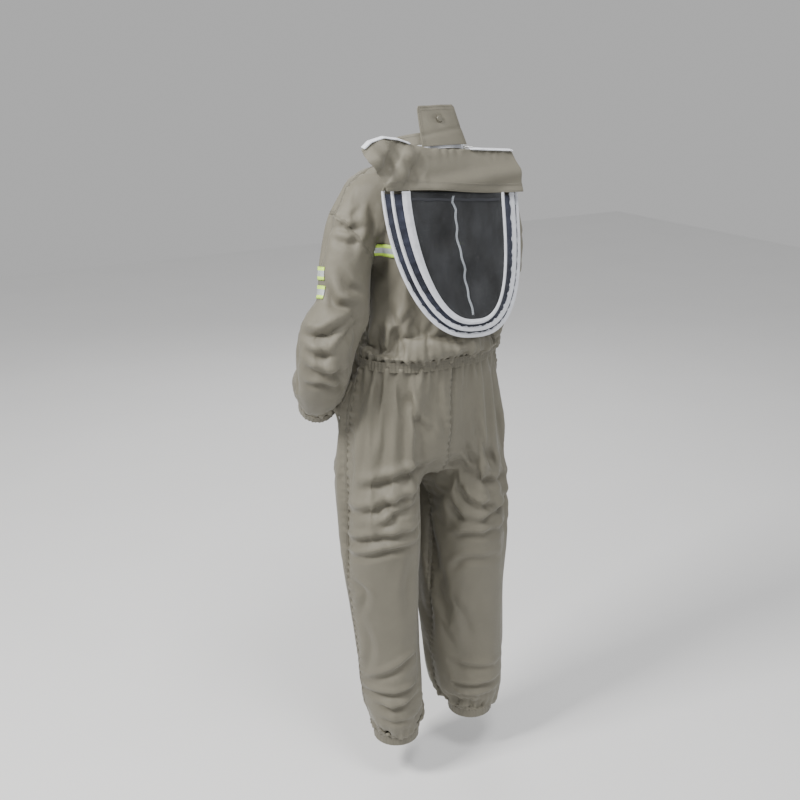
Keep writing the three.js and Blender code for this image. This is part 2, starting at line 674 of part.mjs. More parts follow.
function addVeil() {
  const depth = hoopDepths.inner;
  const cut = block([-far, -far, -bandDrop - 0.8], [far, far, 50]);
  const panel = hoopSheet(inset(hoopMargins.inner, bindingWidth / 2 + 1.8), depth - 1, depth + 0.6).subtract(cut);
  piece('veil_panel', panel, mesh, { parent: hood });
  const low = depth + 0.6 + gap;
  const high = low + 0.9;
  const crossTop = -bandDrop - 12;
  const seam = [];
  const last = -bandDrop - veilLength + hoopMargins.inner.end + 18;
  for (let i = 0; i <= 10; i += 1) {
    const z = THREE.MathUtils.lerp(crossTop - 6.5, last, i / 10);
    seam.push([-veilOffset - veilSkew * ((-bandDrop - z) / veilLength) ** 1.3, z]);
  }
  const outline = [
    ...seam.map(([x, z]) => new THREE.Vector2(x - 3, z)),
    ...seam.reverse().map(([x, z]) => new THREE.Vector2(x + 3, z)),
  ];
  piece('veil_centre_tape', sheetOf(outline, low, high), 0x6a7074, { parent: hood });
  const reach = veilHalfWidth - hoopMargins.inner.side - 12;
  const cross = block([-reach - veilOffset, low, crossTop - 6], [reach - veilOffset - 4, high, crossTop]);
  piece('veil_cross_tape', cross, mesh, { parent: hood });
}

function addHoodCloth() {
  const back = hoopSheet(inset(hoopMargins.outer, -1), 0, hoodBackThickness);
  const neck = sheetOf([
    new THREE.Vector2(-110, -28), new THREE.Vector2(-veilHalfWidth - 8, -bandDrop - 2),
    new THREE.Vector2(veilHalfWidth - 12, -bandDrop - 2), new THREE.Vector2(110, -28),
  ], 0, hoodBackThickness);
  piece('hood_back', back.add(neck), khaki, { parent: hood });
  // The band slopes outward from the fold line to its hem, in front of the hoops' ends.
  const band = new THREE.Group();
  band.rotation.x = Math.atan2(bandFlare, bandDrop);
  band.position.set(0, -3.4, -0.4);
  hood.add(band);
  const drop = bandDrop / Math.cos(band.rotation.x) - 0.6;
  const outline = [
    [-152, 0], [-46, 0], [0, -1], [46, 0], [78, 5], [110, 13], [140, 15], [168, 6], [184, -8], [178, -34],
    [veilHalfWidth - 2, 20 - drop], [veilHalfWidth - 12, -drop],
    [-veilHalfWidth - 14, -drop], [-veilHalfWidth - 12, 0.5 * -drop],
  ].map(([x, z]) => new THREE.Vector2(x, z));
  piece('hood_band', sheetOf(outline, 0, bandCloth), khaki, { parent: band });
  const tapes = {
    left: [[84, 7.6], [110, 13.6], [140, 15.6], [168, 6.6], [183, -5]],
    right: [[-53, 0.6], [-84, 0.6], [-120, 0.6], [-150, 0.6]],
  };
  Object.entries(tapes).forEach(([name, route]) => {
    const tape = [
      ...route.map(([x, z]) => new THREE.Vector2(x, z)),
      ...route.slice().reverse().map(([x, z]) => new THREE.Vector2(x, z + 4)),
    ];
    piece(`hood_zip_tape_${name}`, sheetOf(tape, -3, 8), white, { parent: band });
  });
}

addBodice();
addSleeves();
addWaist();
addTrousers();
addReflectiveBands();
addFrontZip();
addCollar();
addNapeFlap();
addHoops();
addVeil();
addHoodCloth();
suit.add(hoodPlace);

// The origin is the centre of the collar's base.
suit.position.set(0, -collarSetBack, -collarHeight);

export default suit;
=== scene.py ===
"""Beekeeping suit: cloth, trims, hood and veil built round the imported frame."""
import json
import math
import random

import bmesh
import bpy
import numpy as np
from bpy.props import FloatProperty, FloatVectorProperty, IntProperty, PointerProperty
from mathutils import Euler, Matrix, Vector
from mathutils.bvhtree import BVHTree


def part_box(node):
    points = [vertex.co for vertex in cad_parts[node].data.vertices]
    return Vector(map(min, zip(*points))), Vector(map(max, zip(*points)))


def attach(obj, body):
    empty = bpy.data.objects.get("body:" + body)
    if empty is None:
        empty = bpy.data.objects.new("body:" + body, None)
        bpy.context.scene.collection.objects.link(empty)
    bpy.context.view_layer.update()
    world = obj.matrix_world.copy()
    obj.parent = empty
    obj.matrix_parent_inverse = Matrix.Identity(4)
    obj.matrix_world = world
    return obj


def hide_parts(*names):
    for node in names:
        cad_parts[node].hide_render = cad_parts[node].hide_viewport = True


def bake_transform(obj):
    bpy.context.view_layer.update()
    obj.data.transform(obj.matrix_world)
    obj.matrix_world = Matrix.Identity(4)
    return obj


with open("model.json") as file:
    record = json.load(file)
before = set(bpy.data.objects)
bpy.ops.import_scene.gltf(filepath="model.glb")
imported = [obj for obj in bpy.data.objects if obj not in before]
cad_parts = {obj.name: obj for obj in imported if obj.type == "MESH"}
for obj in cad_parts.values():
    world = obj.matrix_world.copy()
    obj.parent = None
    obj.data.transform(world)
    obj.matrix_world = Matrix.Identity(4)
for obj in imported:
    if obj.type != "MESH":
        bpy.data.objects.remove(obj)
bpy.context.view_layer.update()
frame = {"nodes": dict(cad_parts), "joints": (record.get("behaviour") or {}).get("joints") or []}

bl_info = {
    "name": "Beekeeping suit",
    "version": (1, 0, 0),
    "blender": (4, 5, 0),
    "location": "View3D > Sidebar > Suit",
    "description": "Builds a beekeeping suit with a hooped veil around its packed frame",
    "category": "Object",
}

# ---------------------------------------------------------------- places taken from the frame
JOINTS = {joint["name"]: joint for joint in frame["joints"]}
SIDES = {"left": 1.0, "right": -1.0}


def middle(node):
    low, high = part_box(node)
    return (low + high) / 2


COLLAR_TILT = math.radians(17)
COLLAR_RADIUS = (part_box("collar")[1].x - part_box("collar")[0].x) / 2
WAIST = middle("waist_casing").z
HEM_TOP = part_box("hem_left")[1].z
HEM_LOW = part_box("hem_left")[0].z
RISE = 0.228
CROTCH = WAIST - RISE
LEG = CROTCH - HEM_TOP
WAIST_WIDE = 0.148
WAIST_BACK = 0.102
CUFF_RADIUS = 0.038
ANKLE_RADIUS = (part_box("hem_left")[1].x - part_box("hem_left")[0].x) / 2
ZIP_CENTRE = Vector(JOINTS["front_zip_travel"]["pos_m"])
TAPE_LIFT = 0.001
ZIP_RADIUS = ZIP_CENTRE.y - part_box("front_zip_tape_left")[0].y - TAPE_LIFT
GROUND = -1.408


# ---------------------------------------------------------------- meshes
def link(name, mesh):
    made = bpy.data.objects.new(name, mesh)
    bpy.context.scene.collection.objects.link(made)
    return made


def mesh_object(name, points, faces, smooth=True):
    mesh = bpy.data.meshes.new(name)
    mesh.from_pydata([tuple(p) for p in points], [], [tuple(int(i) for i in f) for f in faces])
    mesh.validate()
    mesh.update()
    if smooth:
        mesh.polygons.foreach_set("use_smooth", [True] * len(mesh.polygons))
    return link(name, mesh)


def grid_faces(rows, columns, wrap_rows=False, wrap_columns=False, flip=False):
    faces = []
    for r in range(rows if wrap_rows else rows - 1):
        for c in range(columns if wrap_columns else columns - 1):
            a = r * columns + c
            b = r * columns + (c + 1) % columns
            d = ((r + 1) % rows) * columns + c
            e = ((r + 1) % rows) * columns + (c + 1) % columns
            faces.append((a, d, e, b) if flip else (a, b, e, d))
    return faces


def outward(made):
    """Turns a closed mesh's faces so that they all look out."""
    edit = bmesh.new()
    edit.from_mesh(made.data)
    bmesh.ops.recalc_face_normals(edit, faces=edit.faces)
    edit.to_mesh(made.data)
    edit.free()
    return made


def loft(name, rings, wrap=False):
    """A closed body through rings that all have the same count of points."""
    rings = [np.asarray(ring, float) for ring in rings]
    count = len(rings[0])
    points = np.concatenate(rings)
    faces = grid_faces(len(rings), count, wrap_rows=wrap, wrap_columns=True)
    if not wrap:
        points = np.concatenate([points, [rings[0].mean(0)], [rings[-1].mean(0)]])
        first, last = len(points) - 2, len(points) - 1
        base = (len(rings) - 1) * count
        for i in range(count):
            j = (i + 1) % count
            faces.append((j, i, first))
            faces.append((base + i, base + j, last))
    return outward(mesh_object(name, points, faces))


def apply_all(made):
    """Applies every modifier on the object."""
    graph = bpy.context.evaluated_depsgraph_get()
    mesh = bpy.data.meshes.new_from_object(made.evaluated_get(graph))
    made.modifiers.clear()
    old = made.data
    made.data = mesh
    if not old.users:
        bpy.data.meshes.remove(old)
    return made


def coordinates(made):
    co = np.empty(len(made.data.vertices) * 3)
    made.data.vertices.foreach_get("co", co)
    return co.reshape(-1, 3)


def normals(made):
    no = np.empty(len(made.data.vertices) * 3, np.float32)
    made.data.vertex_normals.foreach_get("vector", no)
    return no.reshape(-1, 3).astype(float)


def move_points(made, co):
    made.data.vertices.foreach_set("co", np.ascontiguousarray(co, np.float32).ravel())
    made.data.update()


def joined(name, objects):
    """Joins meshes into the first one and keeps every material."""
    with bpy.context.temp_override(active_object=objects[0], selected_editable_objects=objects):
        bpy.ops.object.join()
    objects[0].name = name
    objects[0].data.name = name
    return objects[0]


def unit(v):
    v = np.asarray(v, float)
    return v / np.maximum(np.linalg.norm(v, axis=-1, keepdims=True), 1e-12)


def resampled(path, step, closed=False):
    """The path at an even step."""
    path = np.asarray(path, float)
    if closed:
        path = np.vstack([path, path[:1]])
    along = np.concatenate([[0], np.cumsum(np.linalg.norm(np.diff(path, axis=0), axis=1))])
    count = max(int(round(along[-1] / step)), 2)
    at = np.linspace(0, along[-1], count + 1)
    if closed:
        at = at[:-1]
    return np.stack([np.interp(at, along, path[:, i]) for i in range(3)], 1)


def spline(points, count):
    """A smooth curve through the points (Catmull-Rom), as count points."""
    p = np.asarray(points, float)
    p = np.vstack([2 * p[0] - p[1], p, 2 * p[-1] - p[-2]])
    t = np.linspace(0, len(p) - 3, count)
    i = np.minimum(t.astype(int), len(p) - 4)
    f = (t - i)[:, None]
    a, b, c, d = p[i], p[i + 1], p[i + 2], p[i + 3]
    return 0.5 * (2 * b + (c - a) * f + (2 * a - 5 * b + 4 * c - d) * f**2 + (3 * b - a - 3 * c + d) * f**3)


def directions(path, closed=False):
    if closed:
        return unit(np.roll(path, -1, 0) - np.roll(path, 1, 0))
    return unit(np.gradient(path, axis=0))


def bar(name, path, outer, section, closed=False, scale=None):
    """A body along a path: section holds (across, out) pairs, outer gives the out direction at each point."""
    path = np.asarray(path, float)
    along = directions(path, closed)
    out = np.asarray(outer, float)
    out = unit(out - (out * along).sum(1, keepdims=True) * along)
    across = np.cross(along, out)
    section = np.asarray(section, float)
    size = np.ones(len(path)) if scale is None else np.asarray(scale)
    rings = [p + (section[:, :1] * a + section[:, 1:] * o) * s for p, a, o, s in zip(path, across, out, size)]
    return loft(name, rings, wrap=closed)


def rounded(width, height, corner=0.35, points=16, lift=0.0):
    """A soft rectangle as (across, out) pairs."""
    power = corner
    angle = (np.arange(points) + 0.5) * 2 * math.pi / points
    c, s = np.cos(angle), np.sin(angle)
    x = np.sign(c) * np.abs(c) ** power * width / 2
    y = np.sign(s) * np.abs(s) ** power * height / 2
    return np.stack([x, y + lift], 1)


def stitches(name, path, out, closed=False, length=0.0030, space=0.0012, radius=0.00032):
    """A row of short thread stitches lying on a path."""
    path = resampled(path, length + space, closed)
    if len(path) < 3:
        return None
    tree = np.asarray(out, float)
    if len(tree) != len(path):
        index = np.linspace(0, len(tree) - 1, len(path)).round().astype(int)
        tree = tree[index]
    along = directions(path, closed)
    up = unit(tree - (tree * along).sum(1, keepdims=True) * along)
    side = np.cross(along, up)
    points, faces = [], []
    shares = ((-0.5, 0.25), (-0.3, 1.0), (0.3, 1.0), (0.5, 0.25))
    for p, a, u, s in zip(path, along, up, side):
        start = len(points)
        for share, size in shares:
            for across, rise in ((1, 0), (0, 1), (-1, 0), (0, -1)):
                points.append(p + a * share * length + (s * across + u * rise) * radius * size)
        for row in range(3):
            for k in range(4):
                i, j = start + row * 4 + k, start + row * 4 + (k + 1) % 4
                faces.append((i, j, j + 4, i + 4))
        faces.append((start + 3, start + 2, start + 1, start))
        faces.append((start + 12, start + 13, start + 14, start + 15))
    return mesh_object(name, points, faces)


def paint(made, *materials):
    made.data.materials.clear()
    for material in materials:
        made.data.materials.append(material)
    return made


def piece(made, body, nodes=(), material=None):
    if material is not None:
        paint(made, material)
    if body is not None:
        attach(made, body)
    if nodes:
        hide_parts(*nodes)
    return made


def noise_rows(count, seed, waves):
    """Smooth random values, one for each place along a strip."""
    rng = np.random.default_rng(seed)
    t = np.arange(count) / count
    total = np.zeros(count)
    for cycles, size in waves:
        total += size * np.sin(2 * math.pi * (cycles * t + rng.random()))
    return total


# ---------------------------------------------------------------- finishes
class Nodes:
    """A short way to write a node material."""

    def __init__(self, name):
        self.material = bpy.data.materials.new(name)
        self.material.use_nodes = True
        self.tree = self.material.node_tree
        self.shader = self.tree.nodes["Principled BSDF"]
        self.place = self.add("ShaderNodeTexCoord").outputs["Object"]

    def add(self, kind, **settings):
        node = self.tree.nodes.new(kind)
        for key, value in settings.items():
            setattr(node, key, value)
        return node

    def feed(self, socket, value):
        if isinstance(value, bpy.types.NodeSocket):
            self.tree.links.new(value, socket)
        else:
            socket.default_value = value

    def maths(self, operation, a, b=0.0, clamp=False):
        node = self.add("ShaderNodeMath", operation=operation, use_clamp=clamp)
        self.feed(node.inputs[0], a)
        self.feed(node.inputs[1], b)
        return node.outputs[0]

    def noise(self, scale, detail=2.0, roughness=0.5, stretch=None):
        node = self.add("ShaderNodeTexNoise")
        place = self.place
        if stretch is not None:
            mapping = self.add("ShaderNodeMapping")
            self.feed(mapping.inputs["Vector"], place)
            mapping.inputs["Scale"].default_value = stretch
            place = mapping.outputs[0]
        self.feed(node.inputs["Vector"], place)
        node.inputs["Scale"].default_value = scale
        node.inputs["Detail"].default_value = detail
        node.inputs["Roughness"].default_value = roughness
        return node.outputs[0]

    def axes(self, vector=None):
        node = self.add("ShaderNodeSeparateXYZ")
        self.feed(node.inputs[0], vector or self.place)
        return node.outputs

    def wave(self, value, pitch):
        """A sine of one pitch, from 0 to 1."""
        turned = self.maths("MULTIPLY", value, 2 * math.pi / pitch)
        return self.maths("MULTIPLY_ADD", self.maths("SINE", turned), 0.5)

    def mix(self, factor, first, second):
        node = self.add("ShaderNodeMix", data_type="RGBA")
        self.feed(node.inputs["Factor"], factor)
        self.feed(node.inputs["A"], first)
        self.feed(node.inputs["B"], second)
        return node.outputs["Result"]

    def spread(self, value, low, high, to_low=0.0, to_high=1.0):
        node = self.add("ShaderNodeMapRange", clamp=True)
        self.feed(node.inputs["Value"], value)
        for key, number in (("From Min", low), ("From Max", high), ("To Min", to_low), ("To Max", to_high)):
            node.inputs[key].default_value = number
        return node.outputs[0]

    def raise_by(self, height, distance, strength=1.0, before=None):
        node = self.add("ShaderNodeBump")
        node.inputs["Strength"].default_value = strength
        node.inputs["Distance"].default_value = distance
        self.feed(node.inputs["Height"], height)
        if before is not None:
            self.feed(node.inputs["Normal"], before)
        return node.outputs[0]

    def set(self, **sockets):
        names = {"colour": "Base Color", "rough": "Roughness", "metal": "Metallic", "bump": "Normal",
                 "sheen": "Sheen Weight", "sheen_rough": "Sheen Roughness", "alpha": "Alpha",
                 "coat": "Coat Weight", "specular": "Specular IOR Level"}
        for key, value in sockets.items():
            self.feed(self.shader.inputs[names[key]], value)
        return self.material


def rgba(colour, share=1.0):
    return (colour[0] * share, colour[1] * share, colour[2] * share, 1.0)


def side_value(nodes):
    """Runs round an upright cloth tube: X on faces that look along Y, and Y on faces that look along X."""
    look = nodes.add("ShaderNodeNewGeometry").outputs["Normal"]
    turned = nodes.axes(look)
    x, y, _ = nodes.axes()
    along_x = nodes.maths("GREATER_THAN", nodes.maths("ABSOLUTE", turned[0]), nodes.maths("ABSOLUTE", turned[1]))
    node = nodes.add("ShaderNodeMix", data_type="FLOAT")
    nodes.feed(node.inputs["Factor"], along_x)
    nodes.feed(node.inputs["A"], x)
    nodes.feed(node.inputs["B"], y)
    return node.outputs["Result"]


def twill(name, colour, pitch=0.0009, sheen=0.12):
    """Cotton twill: diagonal ribs, uneven yarn, soft colour drift, and paler fold ridges that are a painted highlight.
    """
    nodes = Nodes(name)
    across = side_value(nodes)
    up = nodes.axes()[2]
    drift = nodes.noise(9.0, 4.0, 0.6)
    slub = nodes.noise(420.0, 2.0, 0.6)
    rib = nodes.wave(nodes.maths("ADD", nodes.maths("ADD", across, up), nodes.maths("MULTIPLY", slub, pitch)), pitch)
    yarn = nodes.wave(nodes.maths("SUBTRACT", up, nodes.maths("MULTIPLY", across, 0.35)), pitch * 0.8)
    weave = nodes.maths("ADD", nodes.maths("MULTIPLY", rib, 0.7), nodes.maths("MULTIPLY", yarn, 0.3))
    base = nodes.mix(nodes.spread(drift, 0.3, 0.7), rgba(colour, 0.90), rgba(colour, 1.07))
    ribbed = nodes.mix(weave, nodes.mix(0.16, base, (0.02, 0.018, 0.014, 1)), base)
    # Painted highlight: the colour is lightened where the cloth bulges out, so fold ridges look lit and the creases
    # keep the darker colour as painted shade.
    edge = nodes.add("ShaderNodeNewGeometry").outputs["Pointiness"]
    painted_ridge_highlight = nodes.mix(nodes.spread(edge, 0.52, 0.60, 0.0, 0.35), ribbed, rgba(colour, 1.5))
    crumple = nodes.noise(150.0, 3.0, 0.55)
    fine = nodes.raise_by(weave, 0.00012, 0.7)
    bump = nodes.raise_by(crumple, 0.0006, 0.5, fine)
    rough = nodes.spread(slub, 0.2, 0.8, 0.52, 0.68)
    return nodes.set(colour=painted_ridge_highlight, rough=rough, bump=bump, sheen=sheen, sheen_rough=0.4, specular=0.42)


def woven_tape(name, colour, pitch=0.0011, depth=0.00018):
    """Narrow woven tape: fine ribs with a little grime."""
    nodes = Nodes(name)
    x, y, z = nodes.axes()
    diagonal = nodes.maths("ADD", nodes.maths("ADD", x, y), z)
    counter = nodes.maths("SUBTRACT", nodes.maths("ADD", x, y), z)
    weave = nodes.maths("MULTIPLY", nodes.wave(diagonal, pitch), nodes.wave(counter, pitch))
    grime = nodes.spread(nodes.noise(60.0, 4.0, 0.65), 0.35, 0.75)
    base = nodes.mix(grime, rgba(colour, 1.03), rgba(colour, 0.86))
    shade = nodes.mix(weave, nodes.mix(0.18, base, (0.1, 0.1, 0.12, 1)), base)
    bump = nodes.raise_by(nodes.noise(240.0, 2.0), 0.0004, 0.4, nodes.raise_by(weave, depth, 0.8))
    return nodes.set(colour=shade, rough=0.82, bump=bump, sheen=0.15, specular=0.3)


def open_mesh(name, colour, pitch=0.0016, open_share=0.60):
    """Knitted veil mesh: small holes between thin threads, with cloudy patches of painted light."""
    nodes = Nodes(name)
    x, _, z = nodes.axes()
    one = nodes.wave(nodes.maths("ADD", x, z), pitch)
    two = nodes.wave(nodes.maths("SUBTRACT", x, z), pitch)
    hole = nodes.maths("MULTIPLY", one, two)
    gap = nodes.maths("GREATER_THAN", hole, open_share)
    # Painted light: lighter and darker patches, stretched along the height, stand in for light showing through the
    # mesh and falling on its folds.
    painted_light_patches = nodes.noise(22.0, 4.0, 0.6, (1.0, 1.0, 0.45))
    base = nodes.mix(nodes.spread(painted_light_patches, 0.35, 0.7), rgba(colour, 0.55), rgba(colour, 2.2))
    bump = nodes.raise_by(nodes.maths("SUBTRACT", 1.0, hole), 0.0003, 0.6)
    alpha = nodes.maths("SUBTRACT", 1.0, nodes.maths("MULTIPLY", gap, 0.85))
    return nodes.set(colour=base, rough=0.62, bump=bump, alpha=alpha, sheen=0.2, specular=0.35)


def metal(name, colour, rough=0.35):
    nodes = Nodes(name)
    scuff = nodes.noise(900.0, 3.0, 0.6)
    base = nodes.mix(nodes.spread(scuff, 0.35, 0.7), rgba(colour, 0.82), rgba(colour, 1.08))
    return nodes.set(colour=base, rough=nodes.spread(scuff, 0.3, 0.7, rough * 0.8, rough * 1.3), metal=1.0,
                     bump=nodes.raise_by(scuff, 0.00008, 0.5))


def ribbed_elastic(name, colour):
    nodes = Nodes(name)
    x, y, z = nodes.axes()
    rib = nodes.wave(z, 0.0021)
    cross = nodes.wave(nodes.maths("ADD", x, y), 0.0013)
    weave = nodes.maths("ADD", nodes.maths("MULTIPLY", rib, 0.7), nodes.maths("MULTIPLY", cross, 0.3))
    base = nodes.mix(weave, rgba(colour, 0.7), rgba(colour, 1.05))
    return nodes.set(colour=base, rough=0.85, bump=nodes.raise_by(weave, 0.0004), sheen=0.1)


def retroreflective(name, silver, lime, low, high):
    """Silver glass-bead tape between two bright edges; its UV runs across the tape from 0 to 1."""
    nodes = Nodes(name)
    uv = nodes.add("ShaderNodeUVMap")
    across = nodes.axes(uv.outputs[0])[1]
    inside = nodes.maths("MULTIPLY", nodes.maths("GREATER_THAN", across, low), nodes.maths("LESS_THAN", across, high))
    bead = nodes.noise(2600.0, 1.0, 0.5)
    crease = nodes.noise(75.0, 4.0, 0.6)
    # Painted shade and highlight: both colours follow the crease bumps, darker in their hollows and lighter on their
    # rises.
    silver_crease_shade = nodes.mix(nodes.spread(crease, 0.35, 0.7), rgba(silver, 0.78), rgba(silver, 1.12))
    lime_crease_shade = nodes.mix(nodes.spread(crease, 0.3, 0.7), rgba(lime, 0.9), rgba(lime, 1.08))
    bump = nodes.raise_by(crease, 0.0005, 0.4, nodes.raise_by(bead, 0.00008, 0.6))
    return nodes.set(colour=nodes.mix(inside, lime_crease_shade, silver_crease_shade), bump=bump,
                     rough=nodes.spread(bead, 0.3, 0.7, 0.42, 0.62), metal=nodes.maths("MULTIPLY", inside, 0.35))


def thread(name, colour):
    nodes = Nodes(name)
    ply = nodes.wave(nodes.maths("ADD", nodes.axes()[0], nodes.axes()[2]), 0.0004)
    return nodes.set(colour=nodes.mix(ply, rgba(colour, 0.8), rgba(colour, 1.1)), rough=0.6, sheen=0.2)


def plastic(name, colour):
    nodes = Nodes(name)
    speck = nodes.noise(700.0, 3.0)
    return nodes.set(colour=nodes.mix(speck, rgba(colour, 0.9), rgba(colour, 1.1)), rough=0.35,
                     bump=nodes.raise_by(speck, 0.00006, 0.4), specular=0.5)


# ---------------------------------------------------------------- settings a user changes
class SuitSizes(bpy.types.PropertyGroup):
    voxel: FloatProperty(
        name="Cloth grain", default=0.0085, min=0.004, max=0.02, unit="LENGTH",
        description="Size of the faces that the hanging cloth is worked out on")
    thickness: FloatProperty(
        name="Cloth thickness", default=0.0009, min=0.0003, max=0.003, unit="LENGTH",
        description="Thickness of the twill")
    ease: FloatProperty(
        name="Ease", default=0.022, min=0.005, max=0.05, unit="LENGTH",
        description="Room between the wearer and the cloth")
    spare: FloatProperty(
        name="Spare cloth", default=0.20, min=0.0, max=0.3,
        description="Share of extra length where the cloth is gathered")
    taut: FloatProperty(
        name="Spare cloth elsewhere", default=0.07, min=0.0, max=0.2,
        description="Share of extra length where the cloth hangs freely")
    frames: IntProperty(
        name="Hanging time", default=26, min=5, max=80,
        description="Frames for which the cloth is left to hang")
    weave: FloatProperty(
        name="Twill pitch", default=0.0009, min=0.0003, max=0.003, unit="LENGTH",
        description="Distance between two ribs of the twill")


class SuitColours(bpy.types.PropertyGroup):
    khaki: FloatVectorProperty(
        name="Twill", default=(0.168, 0.156, 0.120), size=3, min=0, max=1, subtype="COLOR",
        description="Colour of the coverall's twill")
    trim: FloatVectorProperty(
        name="Trim", default=(0.80, 0.82, 0.88), size=3, min=0, max=1, subtype="COLOR",
        description="Colour of the hoop bindings and the neck zip's tape")
    mesh: FloatVectorProperty(
        name="Veil", default=(0.016, 0.017, 0.019), size=3, min=0, max=1, subtype="COLOR",
        description="Colour of the veil's mesh")
    lime: FloatVectorProperty(
        name="Bright edge", default=(0.62, 0.95, 0.10), size=3, min=0, max=1, subtype="COLOR",
        description="Colour of the edges of the reflective tape")
    silver: FloatVectorProperty(
        name="Reflective middle", default=(0.56, 0.60, 0.60), size=3, min=0, max=1, subtype="COLOR",
        description="Colour of the middle of the reflective tape")


FINISH = {}


def make_finishes(sizes, colours):
    khaki = tuple(colours.khaki)
    FINISH.update(
        twill=twill("khaki_twill", khaki, sizes.weave),
        seam=twill("khaki_seam", tuple(0.88 * c for c in khaki), sizes.weave),
        lining=twill("pocket_lining", (0.5, 0.47, 0.41), 0.0006, 0.1),
        thread=thread("khaki_thread", tuple(0.62 * c for c in khaki)),
        trim=woven_tape("white_trim", tuple(colours.trim)),
        trim_thread=thread("white_thread", (0.7, 0.71, 0.76)),
        zip_tape=woven_tape("khaki_zip_tape", tuple(0.8 * c for c in khaki)),
        coil=plastic("zip_coil", tuple(0.9 * c for c in khaki)),
        white_coil=plastic("white_zip_coil", (0.78, 0.79, 0.84)),
        veil=open_mesh("veil_mesh", tuple(colours.mesh)),
        gusset=open_mesh("gusset_mesh", (0.016, 0.019, 0.034), 0.0013, 0.62),
        grey_tape=woven_tape("veil_seam_tape", (0.30, 0.33, 0.36)),
        dark_tape=woven_tape("veil_cross_tape", (0.022, 0.024, 0.028)),
        reflective=retroreflective("reflective_tape", tuple(colours.silver), tuple(colours.lime), 0.27, 0.73),
        elastic=ribbed_elastic("elastic", (0.7, 0.68, 0.62)),
        metal=metal("zip_metal", (0.58, 0.58, 0.56)),
        boning=metal("boning", (0.30, 0.31, 0.33), 0.4),
        snap=plastic("snap", tuple(0.75 * c for c in khaki)),
    )


# ---------------------------------------------------------------- the worn outline
def front_depth(z):
    """Depth of the front closure before the side seams, on the arc that it follows."""
    above = z - ZIP_CENTRE.z
    return math.sqrt(ZIP_RADIUS**2 - above**2) - ZIP_CENTRE.y


# Trunk and seat: height, half width, back depth, front depth or None for the closure's arc, lean, roundness.
def trunk_sections():
    side = -WAIST - 0.138
    lean = math.tan(COLLAR_TILT)
    throat = COLLAR_RADIUS * math.cos(COLLAR_TILT)
    wide, back = WAIST_WIDE, WAIST_BACK
    return [
        (0.022, 0.071, throat - 0.003, throat - 0.006, lean, 2.0),
        (0.0, COLLAR_RADIUS, throat, throat, lean, 2.0),
        (-0.006, COLLAR_RADIUS + 0.018, throat + 0.002, throat + 0.004, 0.25, 2.1),
        (-0.018, COLLAR_RADIUS + 0.054, throat + 0.006, None, 0.15, 2.3),
        (-0.040, 0.170, throat + 0.010, None, 0, 2.3),
        (-0.068, 0.182, 0.086, None, 0, 2.3),
        (-0.103, 0.172, 0.091, None, 0, 2.3),
        (-0.138, 0.146, 0.096, None, 0, 2.3),
        (WAIST + 0.86 * side, 0.122, 0.101, None, 0, 2.3),
        (WAIST + 0.67 * side, 0.126, 0.108, None, 0, 2.3),
        (WAIST + 0.46 * side, 0.134, 0.114, None, 0, 2.3),
        (WAIST + 0.23 * side, wide - 0.002, back + 0.018, None, 0, 2.3),
        (WAIST + 0.11 * side, wide + 0.004, back + 0.012, None, 0, 2.3),
        (WAIST, wide, back, None, 0, 2.3),
        (WAIST - 0.12 * RISE, wide + 0.010, back + 0.007, None, 0, 2.3),
        (WAIST - 0.285 * RISE, 0.172, 0.114, None, 0, 2.3),
        (WAIST - 0.48 * RISE, 0.185, 0.117, None, 0, 2.3),
        (WAIST - 0.65 * RISE, 0.193, 0.117, None, 0, 2.3),
        (WAIST - 0.85 * RISE, 0.194, 0.110, None, 0, 2.3),
        (CROTCH, 0.184, 0.090, None, 0, 2.3),
    ]


# Legs: share of the leg's length below the crotch, x, y, half width, half depth.
LEG_SECTIONS = {
    "left": [
        (-0.115, 0.098, -0.008, 0.084, 0.090), (-0.02, 0.101, -0.006, 0.096, 0.104), (0.07, 0.104, -0.004, 0.094, 0.099),
        (0.19, 0.102, -0.002, 0.093, 0.094), (0.31, 0.097, -0.002, 0.090, 0.088), (0.435, 0.091, 0.0, 0.085, 0.082),
        (0.56, 0.087, 0.002, 0.080, 0.078), (0.68, 0.084, 0.004, 0.074, 0.074), (0.8, 0.080, 0.008, 0.074, 0.076),
        (0.91, 0.077, 0.010, 0.073, 0.076), (0.967, 0.075, 0.012, 0.062, 0.064),
    ],
    "right": [
        (-0.115, -0.098, -0.008, 0.084, 0.090), (-0.02, -0.101, -0.006, 0.096, 0.104), (0.07, -0.107, -0.004, 0.096, 0.099),
        (0.19, -0.114, -0.002, 0.099, 0.095), (0.31, -0.114, -0.001, 0.094, 0.090), (0.435, -0.114, 0.0, 0.087, 0.084),
        (0.56, -0.120, 0.002, 0.086, 0.080), (0.68, -0.132, 0.004, 0.080, 0.076), (0.8, -0.134, 0.008, 0.077, 0.076),
        (0.91, -0.132, 0.010, 0.078, 0.078), (0.967, -0.130, 0.012, 0.063, 0.064),
    ],
}
# Sleeves: x, y, z from inside the shoulder to the wrist, and a radius.
SLEEVE_SECTIONS = {
    "left": [
        (0.118, 0.0, -0.080, 0.044), (0.160, 0.002, -0.104, 0.056), (0.190, 0.012, -0.180, 0.053),
        (0.205, 0.024, -0.258, 0.052), (0.245, 0.032, -0.304, 0.060), (0.241, -0.006, -0.400, 0.056),
        (0.219, -0.060, -0.480, 0.041),
    ],
    "right": [
        (-0.118, 0.0, -0.080, 0.044), (-0.160, 0.002, -0.104, 0.056), (-0.191, -0.008, -0.180, 0.053),
        (-0.205, -0.040, -0.258, 0.053), (-0.212, -0.072, -0.325, 0.051), (-0.214, -0.088, -0.404, 0.050),
        (-0.212, -0.094, -0.464, 0.041),
    ],
}
SLEEVE_RUN_OUT = 0.014
SLEEVE_FLATNESS = 0.90
